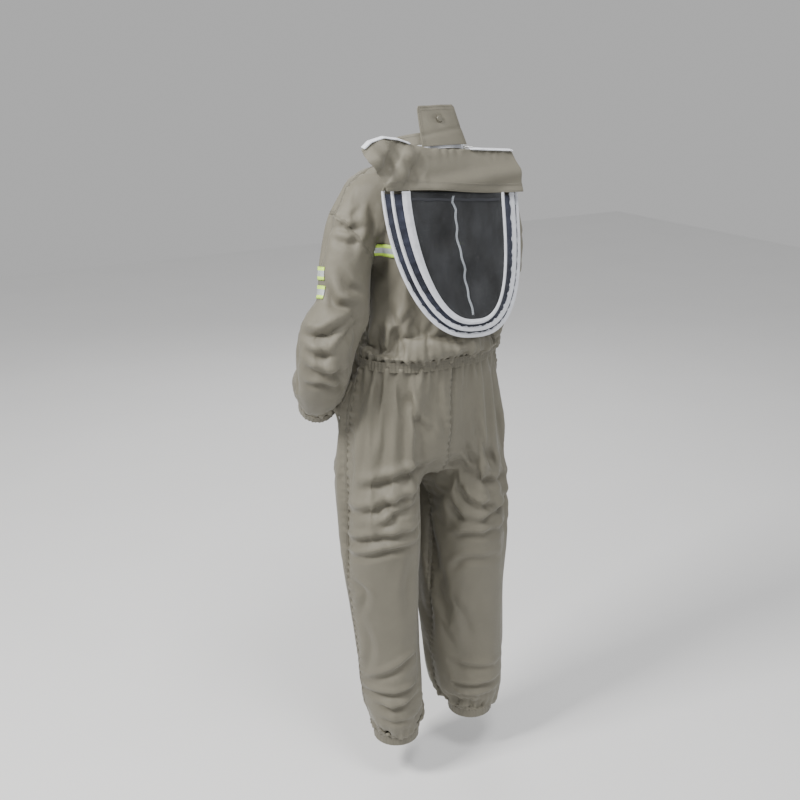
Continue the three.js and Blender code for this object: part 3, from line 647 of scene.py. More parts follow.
# Armhole seams: a point on the seam's plane, and the way the sleeve leaves it.
ARMHOLES = {
    "left": ((0.176, 0.0, -0.128), (0.80, 0.0, -0.60)),
    "right": ((-0.172, 0.0, -0.124), (-0.80, 0.0, -0.60)),
}


def trunk_ring(section, grow=0.0, count=48):
    z, wide, back, front, lean, round_ = section
    front = front_depth(z) if front is None else front
    angle = (np.arange(count) + 0.5) * 2 * math.pi / count
    c, s = np.cos(angle), np.sin(angle)
    depth = np.where(s > 0, back, front) + grow
    x = (wide + grow) * np.sign(c) * np.abs(c) ** (2 / round_)
    y = depth * np.sign(s) * np.abs(s) ** (2 / round_)
    return np.stack([x, y, z + lean * y], 1)


def leg_rings(side, grow=0.0, count=32):
    angle = np.arange(count) * 2 * math.pi / count
    _, x, y, _, _ = LEG_SECTIONS[side][-1]
    stations = [*LEG_SECTIONS[side], (1.0, x, y, ANKLE_RADIUS, ANKLE_RADIUS), (1.05, x, y, ANKLE_RADIUS, ANKLE_RADIUS)]
    rings = []
    for share, cx, cy, wide, deep in stations:
        ring = np.stack([cx + (wide + grow) * np.cos(angle), cy + (deep + grow) * np.sin(angle)], 1)
        rings.append(np.column_stack([ring, np.full(count, CROTCH - share * LEG)]))
    return rings


def sleeve_path(side, count=40):
    table = np.array(SLEEVE_SECTIONS[side])
    path = spline(table[:, :3], count)
    radius = np.interp(np.linspace(0, len(table) - 1, count), np.arange(len(table)), table[:, 3])
    return path, radius


def wrist(side):
    """Where the cuff starts, and the way it points."""
    path, _ = sleeve_path(side)
    along = unit(path[-1] - path[-2])
    return path[-1] + along * SLEEVE_RUN_OUT, along


def sleeve_rings(side, grow=0.0, count=28):
    path, radius = sleeve_path(side)
    end, along = wrist(side)
    path = np.vstack([path, end, end + along * 0.03])
    radius = np.concatenate([radius, [CUFF_RADIUS, CUFF_RADIUS]])
    flat = np.concatenate([np.full(len(path) - 4, SLEEVE_FLATNESS), [0.96, 1.0, 1.0, 1.0]])
    ahead = directions(path)
    angle = np.arange(count) * 2 * math.pi / count
    rings = []
    for p, a, r, f in zip(path, ahead, radius, flat):
        aside = unit(np.cross((0.0, 1.0, 0.0), a))
        up = np.cross(a, aside)
        rings.append(p + (r + grow) * (f * np.cos(angle)[:, None] * aside + np.sin(angle)[:, None] * up))
    return rings


def worn_body(name, grow, voxel, shoulder_grow=None):
    """One closed body of trunk, seat, legs and sleeves."""
    def by_height(z):
        if shoulder_grow is None:
            return grow
        return float(np.interp(z, (-0.20, -0.10), (grow, shoulder_grow)))
    parts = [loft("trunk", [trunk_ring(s, by_height(s[0])) for s in trunk_sections()])]
    for side in SIDES:
        parts.append(loft("leg", leg_rings(side, grow)))
        parts.append(loft("sleeve", sleeve_rings(side, 0.72 * grow)))
    whole = joined(name, parts)
    remesh = whole.modifiers.new("Remesh", "REMESH")
    remesh.mode = "VOXEL"
    remesh.voxel_size = voxel
    smooth = whole.modifiers.new("Smooth", "SMOOTH")
    smooth.factor = 0.5
    smooth.iterations = 6
    return apply_all(whole)


# ---------------------------------------------------------------- the coverall's cloth
PANELS = ("bodice_back", "bodice_front_left", "bodice_front_right", "sleeve_left", "sleeve_right",
          "trouser_back_left", "trouser_back_right", "trouser_front_left", "trouser_front_right")


def sleeve_side(points):
    """For each point: 1 on the left sleeve, -1 on the right one, and 0 elsewhere."""
    found = np.zeros(len(points), int)
    sections = trunk_sections()[::-1]
    z = np.array([s[0] for s in sections])
    wide = np.interp(points[:, 2], z, [s[1] for s in sections])
    back = np.interp(points[:, 2], z, [s[2] for s in sections])
    front = np.interp(points[:, 2], z, [front_depth(s[0]) if s[3] is None else s[3] for s in sections])
    depth = np.where(points[:, 1] > 0, back, front)
    form = (np.abs(points[:, 0]) / wide) ** 2.3 + (np.abs(points[:, 1]) / depth) ** 2.3
    off_trunk = np.abs(form ** (1 / 2.3) - 1) * np.minimum(wide, depth)
    for side, sign in SIDES.items():
        path, radius = sleeve_path(side)
        end, along = wrist(side)
        path = np.vstack([path, end])
        radius = np.append(radius, CUFF_RADIUS)
        away = np.linalg.norm(points[:, None, :] - path[None], axis=2) - radius[None]
        off_sleeve = np.abs(away).min(1)
        seam, out = (np.array(v) for v in ARMHOLES[side])
        beyond = (points - seam) @ out > 0
        found[(off_sleeve < off_trunk) & beyond & (points[:, 0] * sign > 0.1)] = int(sign)
        found[beyond & (points[:, 0] * sign > 0.150) & (points[:, 2] > -0.15)] = int(sign)
    return found


def cut(edit, point, normal, where, clear=False):
    """Cuts the faces for which where(centre) holds by a plane; clear drops what lies beyond it."""
    faces = [f for f in edit.faces if where(f.calc_center_median())]
    geometry = set(faces)
    for f in faces:
        geometry.update(f.edges)
        geometry.update(f.verts)
    bmesh.ops.bisect_plane(edit, geom=list(geometry), dist=1e-5, plane_co=point, plane_no=normal, clear_outer=clear)


def panel_numbers(made):
    centres = np.empty(len(made.data.polygons) * 3)
    made.data.polygons.foreach_get("center", centres)
    centres = centres.reshape(-1, 3)
    side = sleeve_side(centres)
    left = centres[:, 0] > 0
    back = centres[:, 1] > 0
    bodice = centres[:, 2] > WAIST
    number = np.where(bodice, np.where(back, 0, np.where(left, 1, 2)),
                      np.where(back, np.where(left, 5, 6), np.where(left, 7, 8)))
    number[side > 0] = 3
    number[side < 0] = 4
    made.data.polygons.foreach_set("material_index", number.astype(np.int32))
    return made


def cloth_blank(sizes):
    """The coverall as one thin skin, open at neck, wrists and ankles, with edges along every seam."""
    skin = worn_body("coverall", 0.0, sizes.voxel)
    edit = bmesh.new()
    edit.from_mesh(skin.data)
    lean = Vector((0, -math.sin(COLLAR_TILT), math.cos(COLLAR_TILT)))
    cut(edit, Vector((0, 0, 0.0005)), lean, lambda c: c.z > -0.06 and abs(c.x) < 0.12, clear=True)
    for side in SIDES:
        end, along = (Vector(v) for v in wrist(side))
        cut(edit, end, along, lambda c: (c - end).length < 0.09 and (c - end).cross(along).length < 0.050, clear=True)
    cut(edit, Vector((0, 0, HEM_TOP)), Vector((0, 0, -1)), lambda c: c.z < HEM_TOP + 0.05, clear=True)
    cut(edit, Vector((0, 0, WAIST)), Vector((0, 0, 1)), lambda c: abs(c.z - WAIST) < 0.03 and abs(c.x) < 0.165)
    cut(edit, Vector((0, 0, 0)), Vector((1, 0, 0)), lambda c: abs(c.x) < 0.03)
    cut(edit, Vector((0, 0, 0)), Vector((0, 1, 0)), lambda c: abs(c.y) < 0.03)
    for side, sign in SIDES.items():
        seam, out = ARMHOLES[side]
        cut(edit, Vector(seam), Vector(out), lambda c: c.x * sign > 0.11 and -0.24 < c.z < -0.02)
    bmesh.ops.dissolve_degenerate(edit, dist=0.0006, edges=edit.edges)
    edit.to_mesh(skin.data)
    edit.free()
    return panel_numbers(skin)


def near(value, middle_, reach):
    """1 at the middle, 0 beyond the reach."""
    return np.clip(1 - np.abs(value - middle_) / reach, 0, 1)


def hang(skin, sizes):
    """Lets the skin hang on the wearer's shape, held at its elastics, collar and front zip."""
    co = coordinates(skin)
    sleeves = sleeve_side(co)
    trunk = sleeves == 0
    lean = np.array((0, -math.sin(COLLAR_TILT), math.cos(COLLAR_TILT)))
    held = (co @ lean > -0.011) & (np.abs(co[:, 0]) < 0.12)
    for side in SIDES:
        end, along = wrist(side)
        held |= (np.abs((co - end) @ along) < 0.008) & (np.linalg.norm(co - end, axis=1) < 0.052)
    held |= co[:, 2] < HEM_TOP + 0.006
    held |= trunk & (np.abs(co[:, 2] - WAIST) < 0.007)
    held |= trunk & (np.abs(co[:, 0]) < 0.014) & (co[:, 1] < 0) & (co[:, 2] > CROTCH + 0.05)
    group = skin.vertex_groups.new(name="held")
    group.add([int(i) for i in np.flatnonzero(held)], 1.0, "REPLACE")
    spare = np.zeros(len(co))
    spare = np.maximum(spare, trunk * near(co[:, 2], WAIST + 0.05, 0.10))
    spare = np.maximum(spare, trunk * 0.6 * near(co[:, 2], WAIST - 0.06, 0.08))
    for side, sign in SIDES.items():
        own = sleeves == int(sign)
        elbow = np.array(SLEEVE_SECTIONS[side][4][:3])
        spare = np.maximum(spare, own * near(np.linalg.norm(co - elbow, axis=1), 0.0, 0.17))
        end, _ = wrist(side)
        spare = np.maximum(spare, own * near(np.linalg.norm(co - end, axis=1), 0.03, 0.10))
    spare = np.maximum(spare, trunk * near(co[:, 2], HEM_TOP + 0.09, 0.16))
    spare = np.maximum(spare, trunk * 0.75 * near(co[:, 2], CROTCH - 0.42 * LEG, 0.14))
    spare = np.maximum(spare, trunk * (co[:, 1] > 0) * 0.7 * near(co[:, 2], CROTCH - 0.03, 0.10))
    extra = skin.vertex_groups.new(name="spare")
    for level in range(1, 11):
        inside = np.flatnonzero(np.abs(np.round(spare * 10) - level) < 0.5)
        extra.add([int(i) for i in inside], level / 10, "REPLACE")
    wearer = worn_body("wearer", -sizes.ease, 0.014, shoulder_grow=-0.007)
    wearer.modifiers.new("Collision", "COLLISION")
    wearer.collision.thickness_outer = 0.002
    wearer.collision.cloth_friction = 12
    cloth = skin.modifiers.new("Cloth", "CLOTH")
    settings = cloth.settings
    settings.quality = 6
    settings.mass = 0.12
    settings.air_damping = 2.0
    settings.tension_stiffness = settings.compression_stiffness = 28
    settings.shear_stiffness = 14
    settings.bending_stiffness = 1.2
    settings.effector_weights.gravity = 0.4
    settings.tension_damping = settings.compression_damping = 12
    settings.bending_damping = 1.0
    settings.vertex_group_mass = "held"
    settings.vertex_group_shrink = "spare"
    settings.shrink_min = -sizes.taut
    settings.shrink_max = -sizes.spare
    cloth.collision_settings.distance_min = 0.003
    cloth.collision_settings.collision_quality = 2
    cloth.collision_settings.use_self_collision = False
    scene = bpy.context.scene
    cloth.point_cache.frame_start = 1
    cloth.point_cache.frame_end = sizes.frames
    for number in range(1, sizes.frames + 1):
        scene.frame_set(number)
    apply_all(skin)
    scene.frame_set(1)
    bpy.data.objects.remove(wearer)
    skin.vertex_groups.clear()
    return skin


# ---------------------------------------------------------------- folds set on the hung cloth
# Each fold: three points that it runs through over the cloth, its depth and its width.
FOLDS = [
    # seat and left leg
    ((0.030, 0.085, -0.616), (0.125, 0.092, -0.632), (0.188, 0.038, -0.657), 0.015, 0.012),
    ((0.030, 0.070, -0.668), (0.130, 0.080, -0.688), (0.184, -0.011, -0.726), 0.013, 0.011),
    ((0.040, 0.080, -0.690), (0.115, 0.095, -0.708), (0.154, 0.060, -0.753), 0.012, 0.010),
    ((0.186, -0.009, -0.793), (0.154, 0.060, -0.765), (0.040, 0.075, -0.752), 0.013, 0.010),
    ((0.183, -0.002, -0.824), (0.142, 0.080, -0.794), (0.051, 0.082, -0.784), 0.010, 0.009),
    ((0.151, 0.055, -0.657), (0.129, 0.088, -0.699), (0.121, 0.085, -0.733), 0.007, 0.009),
    ((0.137, 0.055, -0.422), (0.143, 0.057, -0.450), (0.145, 0.058, -0.488), 0.008, 0.010),
    ((0.112, 0.081, -0.416), (0.090, 0.103, -0.490), (0.018, 0.109, -0.569), 0.009, 0.010),
    ((0.036, 0.101, -0.430), (0.022, 0.107, -0.501), (0.008, 0.108, -0.563), 0.006, 0.010),
    ((0.184, 0.013, -0.874), (0.168, 0.039, -0.902), (0.171, 0.017, -0.973), 0.006, 0.010),
    ((0.078, 0.094, -0.807), (0.090, 0.084, -0.891), (0.075, 0.075, -0.973), 0.005, 0.012),
    ((0.168, 0.027, -0.969), (0.154, 0.034, -1.044), (0.156, 0.012, -1.119), 0.006, 0.011),
    ((0.045, 0.060, -1.060), (0.101, 0.072, -1.091), (0.155, 0.006, -1.141), 0.010, 0.010),
    ((0.045, 0.058, -1.150), (0.103, 0.065, -1.158), (0.154, -0.005, -1.161), 0.011, 0.008),
    ((0.140, 0.040, -1.186), (0.119, 0.070, -1.196), (0.040, 0.060, -1.180), 0.011, 0.008),
    ((0.138, 0.040, -1.222), (0.113, 0.071, -1.229), (0.035, 0.046, -1.230), 0.005, 0.006),
    # seat and right leg
    ((-0.006, 0.095, -0.612), (-0.068, 0.100, -0.669), (-0.190, 0.060, -0.700), 0.013, 0.011),
    ((-0.025, 0.070, -0.672), (-0.057, 0.080, -0.720), (-0.165, 0.076, -0.766), 0.013, 0.010),
    ((-0.028, 0.045, -0.723), (-0.046, 0.060, -0.761), (-0.068, 0.095, -0.776), 0.010, 0.010),
    ((-0.068, 0.095, -0.779), (-0.134, 0.086, -0.769), (-0.200, 0.045, -0.735), 0.011, 0.010),
    ((-0.045, 0.050, -0.815), (-0.070, 0.080, -0.808), (-0.195, 0.057, -0.811), 0.010, 0.010),
    ((-0.045, 0.040, -0.905), (-0.072, 0.073, -0.868), (-0.166, 0.076, -0.877), 0.007, 0.010),
    ((-0.037, 0.104, -0.540), (-0.065, 0.093, -0.628), (-0.118, 0.081, -0.690), 0.010, 0.010),
    ((-0.069, 0.103, -0.552), (-0.117, 0.094, -0.633), (-0.176, 0.066, -0.709), 0.008, 0.009),
    ((-0.138, 0.070, -0.508), (-0.155, 0.069, -0.580), (-0.181, 0.053, -0.673), 0.008, 0.010),
    ((-0.050, 0.040, -0.971), (-0.075, 0.065, -1.024), (-0.099, 0.063, -1.097), 0.005, 0.012),
    ((-0.051, 0.017, -1.146), (-0.094, 0.061, -1.163), (-0.182, 0.062, -1.165), 0.008, 0.009),
    ((-0.050, 0.014, -1.204), (-0.101, 0.064, -1.213), (-0.184, 0.050, -1.205), 0.011, 0.008),
    ((-0.055, 0.022, -1.226), (-0.100, 0.066, -1.238), (-0.178, 0.050, -1.232), 0.005, 0.006),
    # bodice, blousing over the waist
    ((0.114, 0.054, -0.279), (0.115, 0.073, -0.318), (0.129, 0.074, -0.374), 0.009, 0.010),
    ((0.079, 0.092, -0.282), (0.108, 0.084, -0.313), (0.109, 0.066, -0.358), 0.006, 0.009),
    ((0.064, 0.107, -0.330), (0.063, 0.115, -0.350), (0.062, 0.121, -0.376), 0.007, 0.009),
    ((0.129, 0.041, -0.314), (0.130, 0.031, -0.350), (0.137, 0.055, -0.381), 0.007, 0.009),
    ((-0.011, 0.122, -0.345), (-0.022, 0.112, -0.370), (-0.034, 0.099, -0.399), 0.006, 0.009),
    ((-0.064, 0.111, -0.350), (-0.066, 0.104, -0.375), (-0.068, 0.094, -0.402), 0.006, 0.009),
    ((0.134, 0.053, -0.134), (0.128, 0.037, -0.169), (0.118, 0.025, -0.218), 0.004, 0.010),
    ((-0.110, 0.080, -0.250), (-0.090, 0.100, -0.300), (-0.050, 0.115, -0.350), 0.006, 0.012),
    # left sleeve
    ((0.213, 0.001, -0.119), (0.189, 0.042, -0.122), (0.157, 0.054, -0.111), 0.008, 0.009),
    ((0.224, 0.021, -0.135), (0.199, 0.047, -0.145), (0.163, 0.056, -0.137), 0.007, 0.009),
    ((0.158, 0.048, -0.076), (0.146, 0.056, -0.107), (0.163, 0.056, -0.162), 0.006, 0.010),
    ((0.228, 0.051, -0.188), (0.209, 0.069, -0.222), (0.165, 0.060, -0.248), 0.008, 0.010),
    ((0.245, 0.031, -0.215), (0.238, 0.062, -0.254), (0.178, 0.064, -0.269), 0.013, 0.011),
    ((0.294, 0.026, -0.312), (0.272, 0.079, -0.310), (0.182, 0.065, -0.281), 0.017, 0.012),
    ((0.305, 0.041, -0.335), (0.277, 0.073, -0.351), (0.234, 0.072, -0.344), 0.010, 0.010),
    ((0.176, 0.054, -0.297), (0.228, 0.088, -0.322), (0.255, 0.071, -0.338), 0.010, 0.010),
    ((0.291, 0.036, -0.373), (0.262, 0.055, -0.388), (0.210, 0.052, -0.387), 0.012, 0.010),
    ((0.287, 0.025, -0.414), (0.266, 0.061, -0.419), (0.215, 0.039, -0.431), 0.010, 0.008),
    ((0.237, 0.082, -0.361), (0.230, 0.061, -0.401), (0.200, 0.010, -0.450), 0.008, 0.009),
    # right sleeve
    ((-0.262, 0.010, -0.250), (-0.225, 0.025, -0.275), (-0.180, 0.030, -0.300), 0.010, 0.011),
    ((-0.265, -0.010, -0.310), (-0.225, 0.005, -0.327), (-0.185, 0.010, -0.345), 0.012, 0.011),
    ((-0.262, -0.040, -0.370), (-0.225, -0.035, -0.380), (-0.190, -0.030, -0.390), 0.010, 0.010),
    ((-0.235, 0.030, -0.160), (-0.200, 0.040, -0.190), (-0.170, 0.045, -0.215), 0.007, 0.011),
    # fronts of the legs and bodice
    ((0.060, -0.080, -0.600), (0.110, -0.085, -0.640), (0.175, -0.040, -0.660), 0.009, 0.012),
    ((-0.060, -0.080, -0.605), (-0.110, -0.085, -0.650), (-0.185, -0.040, -0.680), 0.009, 0.012),
    ((0.050, -0.050, -0.830), (0.100, -0.060, -0.850), (0.160, -0.030, -0.845), 0.010, 0.011),
    ((-0.060, -0.050, -0.850), (-0.120, -0.060, -0.870), (-0.180, -0.030, -0.860), 0.010, 0.011),
    ((0.055, -0.040, -1.150), (0.100, -0.045, -1.165), (0.145, -0.020, -1.150), 0.010, 0.009),
    ((-0.065, -0.040, -1.160), (-0.120, -0.045, -1.175), (-0.170, -0.020, -1.160), 0.010, 0.009),
    ((0.110, -0.080, -0.300), (0.080, -0.100, -0.340), (0.060, -0.095, -0.375), 0.007, 0.011),
    ((-0.110, -0.080, -0.290), (-0.080, -0.100, -0.335), (-0.070, -0.095, -0.375), 0.007, 0.011),
]


def add_folds(co, no, folds):
    """Presses each fold into the cloth: a sharp valley, with the cloth puffed up most on its upper side."""
    moved = co.copy()
    for one, two, three, depth, width in folds:
        path = spline([one, two, three], 61)
        centre = path[30]
        close = np.flatnonzero(np.linalg.norm(co - centre, axis=1) < 0.5 * np.linalg.norm(path[-1] - path[0]) + 0.06)
        if not len(close):
            continue
        here, out = co[close], no[close]
        away = here[:, None, :] - path[None]
        away -= (away * out[:, None, :]).sum(2, keepdims=True) * out[:, None, :] * 0.85
        gaps = np.linalg.norm(away, axis=2)
        nearest = gaps.argmin(1)
        t = nearest / 60
        off = gaps.min(1) / width
        above = np.clip(away[np.arange(len(close)), nearest, 2] / width, -1, 1)
        straight = np.linalg.norm(here - path[nearest], axis=1) < 4 * width + 0.02
        taper = np.clip(np.minimum(t, 1 - t) / 0.35 + 0.12, 0, 1) * (gaps.min(1) < 4 * width)
        puff = 0.42 + 0.26 * above
        shape = -np.exp(-(off**1.5)) + puff * np.exp(-(((off - 1.7) / 0.95) ** 2))
        facing = out @ unit((centre * (1, 1, 0)) + 1e-9) > -0.35
        moved[close] += (0.85 * depth * shape * taper * straight * facing)[:, None] * out
    return moved


def add_pleats(co, no, skin_sleeves):
    """Small pleats that run out of each elastic and die away."""
    moved = co.copy()
    rng = np.random.default_rng(7)

    def pleat(mask, distance, angle, count, depth, reach):
        phase = rng.random(4) * 6.28
        uneven = 0.5 * np.sin(angle * 3 + phase[0]) + 0.35 * np.sin(angle * 7 + phase[1])
        wave = np.sin(angle * count + 2.2 * uneven + phase[2]) + 0.5 * np.sin(angle * count * 0.53 + phase[3])
        fade = np.exp(-distance / reach) * np.clip(distance / 0.004, 0.25, 1)
        return (mask * depth * wave * fade)[:, None] * no

    trunk = skin_sleeves == 0
    around = np.arctan2(co[:, 1], co[:, 0])
    closed = 1 - np.clip(1 - np.abs(co[:, 0]) / 0.03, 0, 1) * (co[:, 1] < 0)
    moved += pleat(trunk * closed * (co[:, 2] > WAIST), co[:, 2] - WAIST, around, 46, 0.0036, 0.030)
    moved += pleat(trunk * closed * (co[:, 2] <= WAIST), WAIST - co[:, 2], around, 42, 0.0042, 0.040)
    for side, sign in SIDES.items():
        own = skin_sleeves == int(sign)
        end, along = wrist(side)
        aside = unit(np.cross((0, 1, 0), along))
        up = np.cross(along, aside)
        angle = np.arctan2((co - end) @ up, (co - end) @ aside)
        moved += pleat(own, np.maximum(-(co - end) @ along, 0), angle, 17, 0.0030, 0.024)
        _, x, y, _, _ = LEG_SECTIONS[side][-1]
        leg = trunk * (co[:, 0] * sign > 0) * (co[:, 2] < HEM_TOP + 0.15)
        angle = np.arctan2(co[:, 1] - y, co[:, 0] - x)
        moved += pleat(leg, np.maximum(co[:, 2] - HEM_TOP, 0), angle, 20, 0.0026, 0.026)
    return moved


# ---------------------------------------------------------------- surfaces to lay trims on
class Surface:
    """The finished cloth, to lay seams, tapes and stitches on."""

    def __init__(self, made):
        co, self.no = coordinates(made), normals(made)
        faces = [tuple(p.vertices) for p in made.data.polygons]
        self.tree = BVHTree.FromPolygons([Vector(p) for p in co], faces)

    def lay(self, points, lift=0.0):
        """Nearest places on the cloth, lifted off it, with the cloth's normals there."""
        placed, out = [], []
        for p in points:
            spot, normal, _, _ = self.tree.find_nearest(Vector(p))
            placed.append(np.array(spot) + np.array(normal) * lift)
            out.append(np.array(normal))
        return np.array(placed), np.array(out)

    def aim(self, origins, ways, lift=0.0, reach=0.4):
        """Places where rays from inside leave the cloth."""
        placed, out = [], []
        for origin, way in zip(origins, ways):
            spot, normal, _, _ = self.tree.ray_cast(Vector(origin), Vector(way), reach)
            if spot is None:
                spot, normal, _, _ = self.tree.find_nearest(Vector(origin) + Vector(way) * reach * 0.4)
            normal = normal if normal.dot(Vector(way)) > 0 else -normal
            placed.append(np.array(spot) + np.array(normal) * lift)
            out.append(np.array(normal))
        return np.array(placed), np.array(out)


    def shine(self, origins, ways, reach):
        """Places where rays from outside, pointed back at the origins, first meet the cloth."""
        placed, out = [], []
        for origin, way in zip(origins, ways):
            spot, normal, _, _ = self.tree.ray_cast(Vector(origin + way * reach), Vector(-way), reach)
            if spot is None:
                spot, normal, _, _ = self.tree.find_nearest(Vector(origin + way * reach * 0.4))
            placed.append(np.array(spot))
            out.append(np.array(normal))
        return np.array(placed), np.array(out)


def softened(values, times=2):
    for _ in range(times):
        values[1:-1] = (values[:-2] + 2 * values[1:-1] + values[2:]) / 4
    return values


def seam_chains(made):
    """The lines along which two panels meet: for each pair of panels, lists of points in order."""
    panel = np.empty(len(made.data.polygons), np.int32)
    made.data.polygons.foreach_get("material_index", panel)
    owner, chains = {}, {}
    for face in made.data.polygons:
        for key in face.edge_keys:
            owner.setdefault(key, []).append(panel[face.index])
    links = {}
    for (a, b), found in owner.items():
        if len(found) == 2 and found[0] != found[1]:
            pair = (min(found), max(found))
            near_ = links.setdefault(pair, {})
            near_.setdefault(a, []).append(b)
            near_.setdefault(b, []).append(a)
    co = coordinates(made)
    for pair, near_ in links.items():
        left = {v: list(n) for v, n in near_.items()}
        found = []
        while left:
            ends = [v for v, n in left.items() if len(n) == 1]
            here = min(ends) if ends else min(left)
            chain = [here]
            while left.get(here):
                after = left[here].pop()
                left[after].remove(here)
                if not left[here]:
                    del left[here]
                chain.append(after)
                here = after
            if here in left and not left[here]:
                del left[here]
            if len(chain) > 6:
                found.append(softened(co[chain].copy(), 4))
        chains[tuple(int(i) for i in pair)] = found
    return chains


def vertex_panels(made):
    """The panel number of each vertex."""
    number = np.zeros(len(made.data.vertices), int)
    for face in made.data.polygons:
        for v in face.vertices:
            number[v] = face.material_index
    return number


def pucker(co, no, chain, depth, pitch, reach):
    """Ripples along a seam, strongest at the seam itself."""
    even = resampled(chain, 0.003)
    moved = co.copy()
    low, high = even.min(0) - reach * 2, even.max(0) + reach * 2
    index = np.flatnonzero(((co > low) & (co < high)).all(1))
    if not len(index):
        return moved
    for part in np.array_split(index, max(len(index) // 4000, 1)):
        away = np.linalg.norm(co[part][:, None] - even[None], axis=2)
        nearest = away.argmin(1)
        along = nearest * 0.003
        off = away[np.arange(len(part)), nearest]
        wave = np.sin(2 * math.pi * along / pitch + 1.7 * np.sin(along * 41)) * np.exp(-((off / reach) ** 2))
        moved[part] += (depth * wave)[:, None] * no[part]
    return moved


def mouth_line(side):
    """The pocket mouth's upper and lower ends, as (y, z)."""
    low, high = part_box(f"pocket_welt_{side}")
    return np.array([high.y - 0.010, high.z]), np.array([low.y, low.z])


def open_pockets(co, no):
    """Draws the cloth in along each pocket's mouth, in front of its stitched edge."""
    moved = co.copy()
    for side, sign in SIDES.items():
        top, low = mouth_line(side)
        line = top - low
        length = np.linalg.norm(line)
        line = line / length
        ahead = np.array([-line[1], line[0]])
        ahead = ahead if ahead[0] < 0 else -ahead
        flat = co[:, 1:] - low
        t = flat @ line / length
        before = flat @ ahead
        own = (co[:, 0] * sign > 0.12) & (t > -0.04) & (t < 1.04)
        ends = np.clip(np.minimum(t + 0.04, 1.04 - t) / 0.16, 0, 1) ** 0.6
        inside = np.where((before > 0) & (before < 0.020), (1 - before / 0.020) ** 1.3, 0)
        moved += (own * ends * (-0.015 * inside))[:, None] * no
        lip = np.exp(-(((before + 0.004) / 0.006) ** 2)) * (before <= 0)
        moved += (own * ends * 0.0022 * lip)[:, None] * no
    return moved


def strip_on(surface, chain, offsets, lifts, under=-0.0006, name="strip", smooth=3):
    """A closed flat strip laid along a chain: offsets run across it and lifts give its upper side."""
    chain = resampled(chain, 0.004)
    _, out = surface.lay(chain)
    out = unit(softened(out.copy(), smooth))
    along = directions(chain)
    across = unit(np.cross(along, out))
    top = [surface.lay(chain + across * o, lift)[0] for o, lift in zip(offsets, lifts)]
    below = [surface.lay(chain + across * o, under)[0] for o in offsets[::-1]]
    rings = np.stack([*top, *below], 1)
    for _ in range(2):
        rings[1:-1] = (rings[:-2] + 2 * rings[1:-1] + rings[2:]) / 4
    return loft(name, list(rings)), chain, across, out


def seam(surface, chain, name, width=0.0075):
    """A felled seam with two rows of stitches."""
    offsets = np.array([-0.0006, 0.0002, width / 2, width - 0.0002, width + 0.0006])
    lifts = (0.0, 0.0008, 0.0009, 0.0008, 0.0)
    made, chain, across, out = strip_on(surface, chain, offsets, lifts, name=name)
    paint(made, FINISH["seam"])
    rows = []
    for offset in (0.0014, width - 0.0014):
        path, up = surface.lay(chain + across * offset, 0.0011)
        row = stitches(f"{name}_thread", softened(path.copy()), up)
        if row is not None:
            rows.append(paint(row, FINISH["thread"]))
    return joined(name, [made, *rows])


def panel_objects(skin, sizes):
    """Splits the skin at its seams into one thin solid for each panel."""
    panel = np.array([p.material_index for p in skin.data.polygons])
    co = coordinates(skin)
    faces = [tuple(p.vertices) for p in skin.data.polygons]
    for number, name in enumerate(PANELS):
        own = [faces[i] for i in np.flatnonzero(panel == number)]
        used = sorted({v for f in own for v in f})
        index = {v: i for i, v in enumerate(used)}
        made = mesh_object(f"{name}_panel", co[used], [[index[v] for v in f] for f in own])
        thick = made.modifiers.new("Thickness", "SOLIDIFY")
        thick.thickness = sizes.thickness
        thick.offset = -1
        apply_all(made)
        piece(made, "suit", (name,), FINISH["twill"])


SHARED = {}


class SUIT_OT_coverall(bpy.types.Operator):
    """The bodice, sleeves and trousers, hung as one cloth and split at the seams"""
    bl_idname = "suit.coverall"
    bl_label = "Coverall cloth"

    def execute(self, context):
        sizes = context.scene.suit_sizes
        skin = cloth_blank(sizes)
        spare = 1 + sizes.taut + 0.5 * (sizes.spare - sizes.taut)
        cut_areas = np.zeros(len(PANELS))
        for face in skin.data.polygons:
            cut_areas[face.material_index] += face.area * spare
        hang(skin, sizes)
        fine = skin.modifiers.new("Fine", "SUBSURF")
        fine.levels = fine.render_levels = 1
        fine.boundary_smooth = "PRESERVE_CORNERS"
        apply_all(skin)
        co = add_folds(coordinates(skin), normals(skin), FOLDS)
        move_points(skin, co)
        number = vertex_panels(skin)
        sleeves = np.where(number == 3, 1, np.where(number == 4, -1, 0))
        co = add_pleats(coordinates(skin), normals(skin), sleeves)
        co = open_pockets(co, normals(skin))
        move_points(skin, co)
        chains = seam_chains(skin)
        for pair, depth in (((5, 7), 0.0016), ((6, 8), 0.0016), ((5, 6), 0.0012), ((0, 1), 0.001), ((0, 2), 0.001),
                            ((0, 3), 0.0012), ((0, 4), 0.0012)):
            for chain in chains.get(pair, []):
                co = pucker(co, normals(skin), chain, depth, 0.017, 0.012)
        move_points(skin, co)
        SHARED["surface"] = Surface(skin)
        SHARED["chains"] = seam_chains(skin)
        panel_objects(skin, sizes)
        bpy.data.objects.remove(skin)
        return {"FINISHED"}


SEAMS = {
    "side_seam_left": [(0, 1)], "side_seam_right": [(0, 2)],
    "armhole_seam_left": [(0, 3), (1, 3)], "armhole_seam_right": [(0, 4), (2, 4)],
    "leg_seams_left": [(5, 7)], "leg_seams_right": [(6, 8)],
    "seat_seam": [(5, 6)], "fly_seam": [(7, 8)],
}


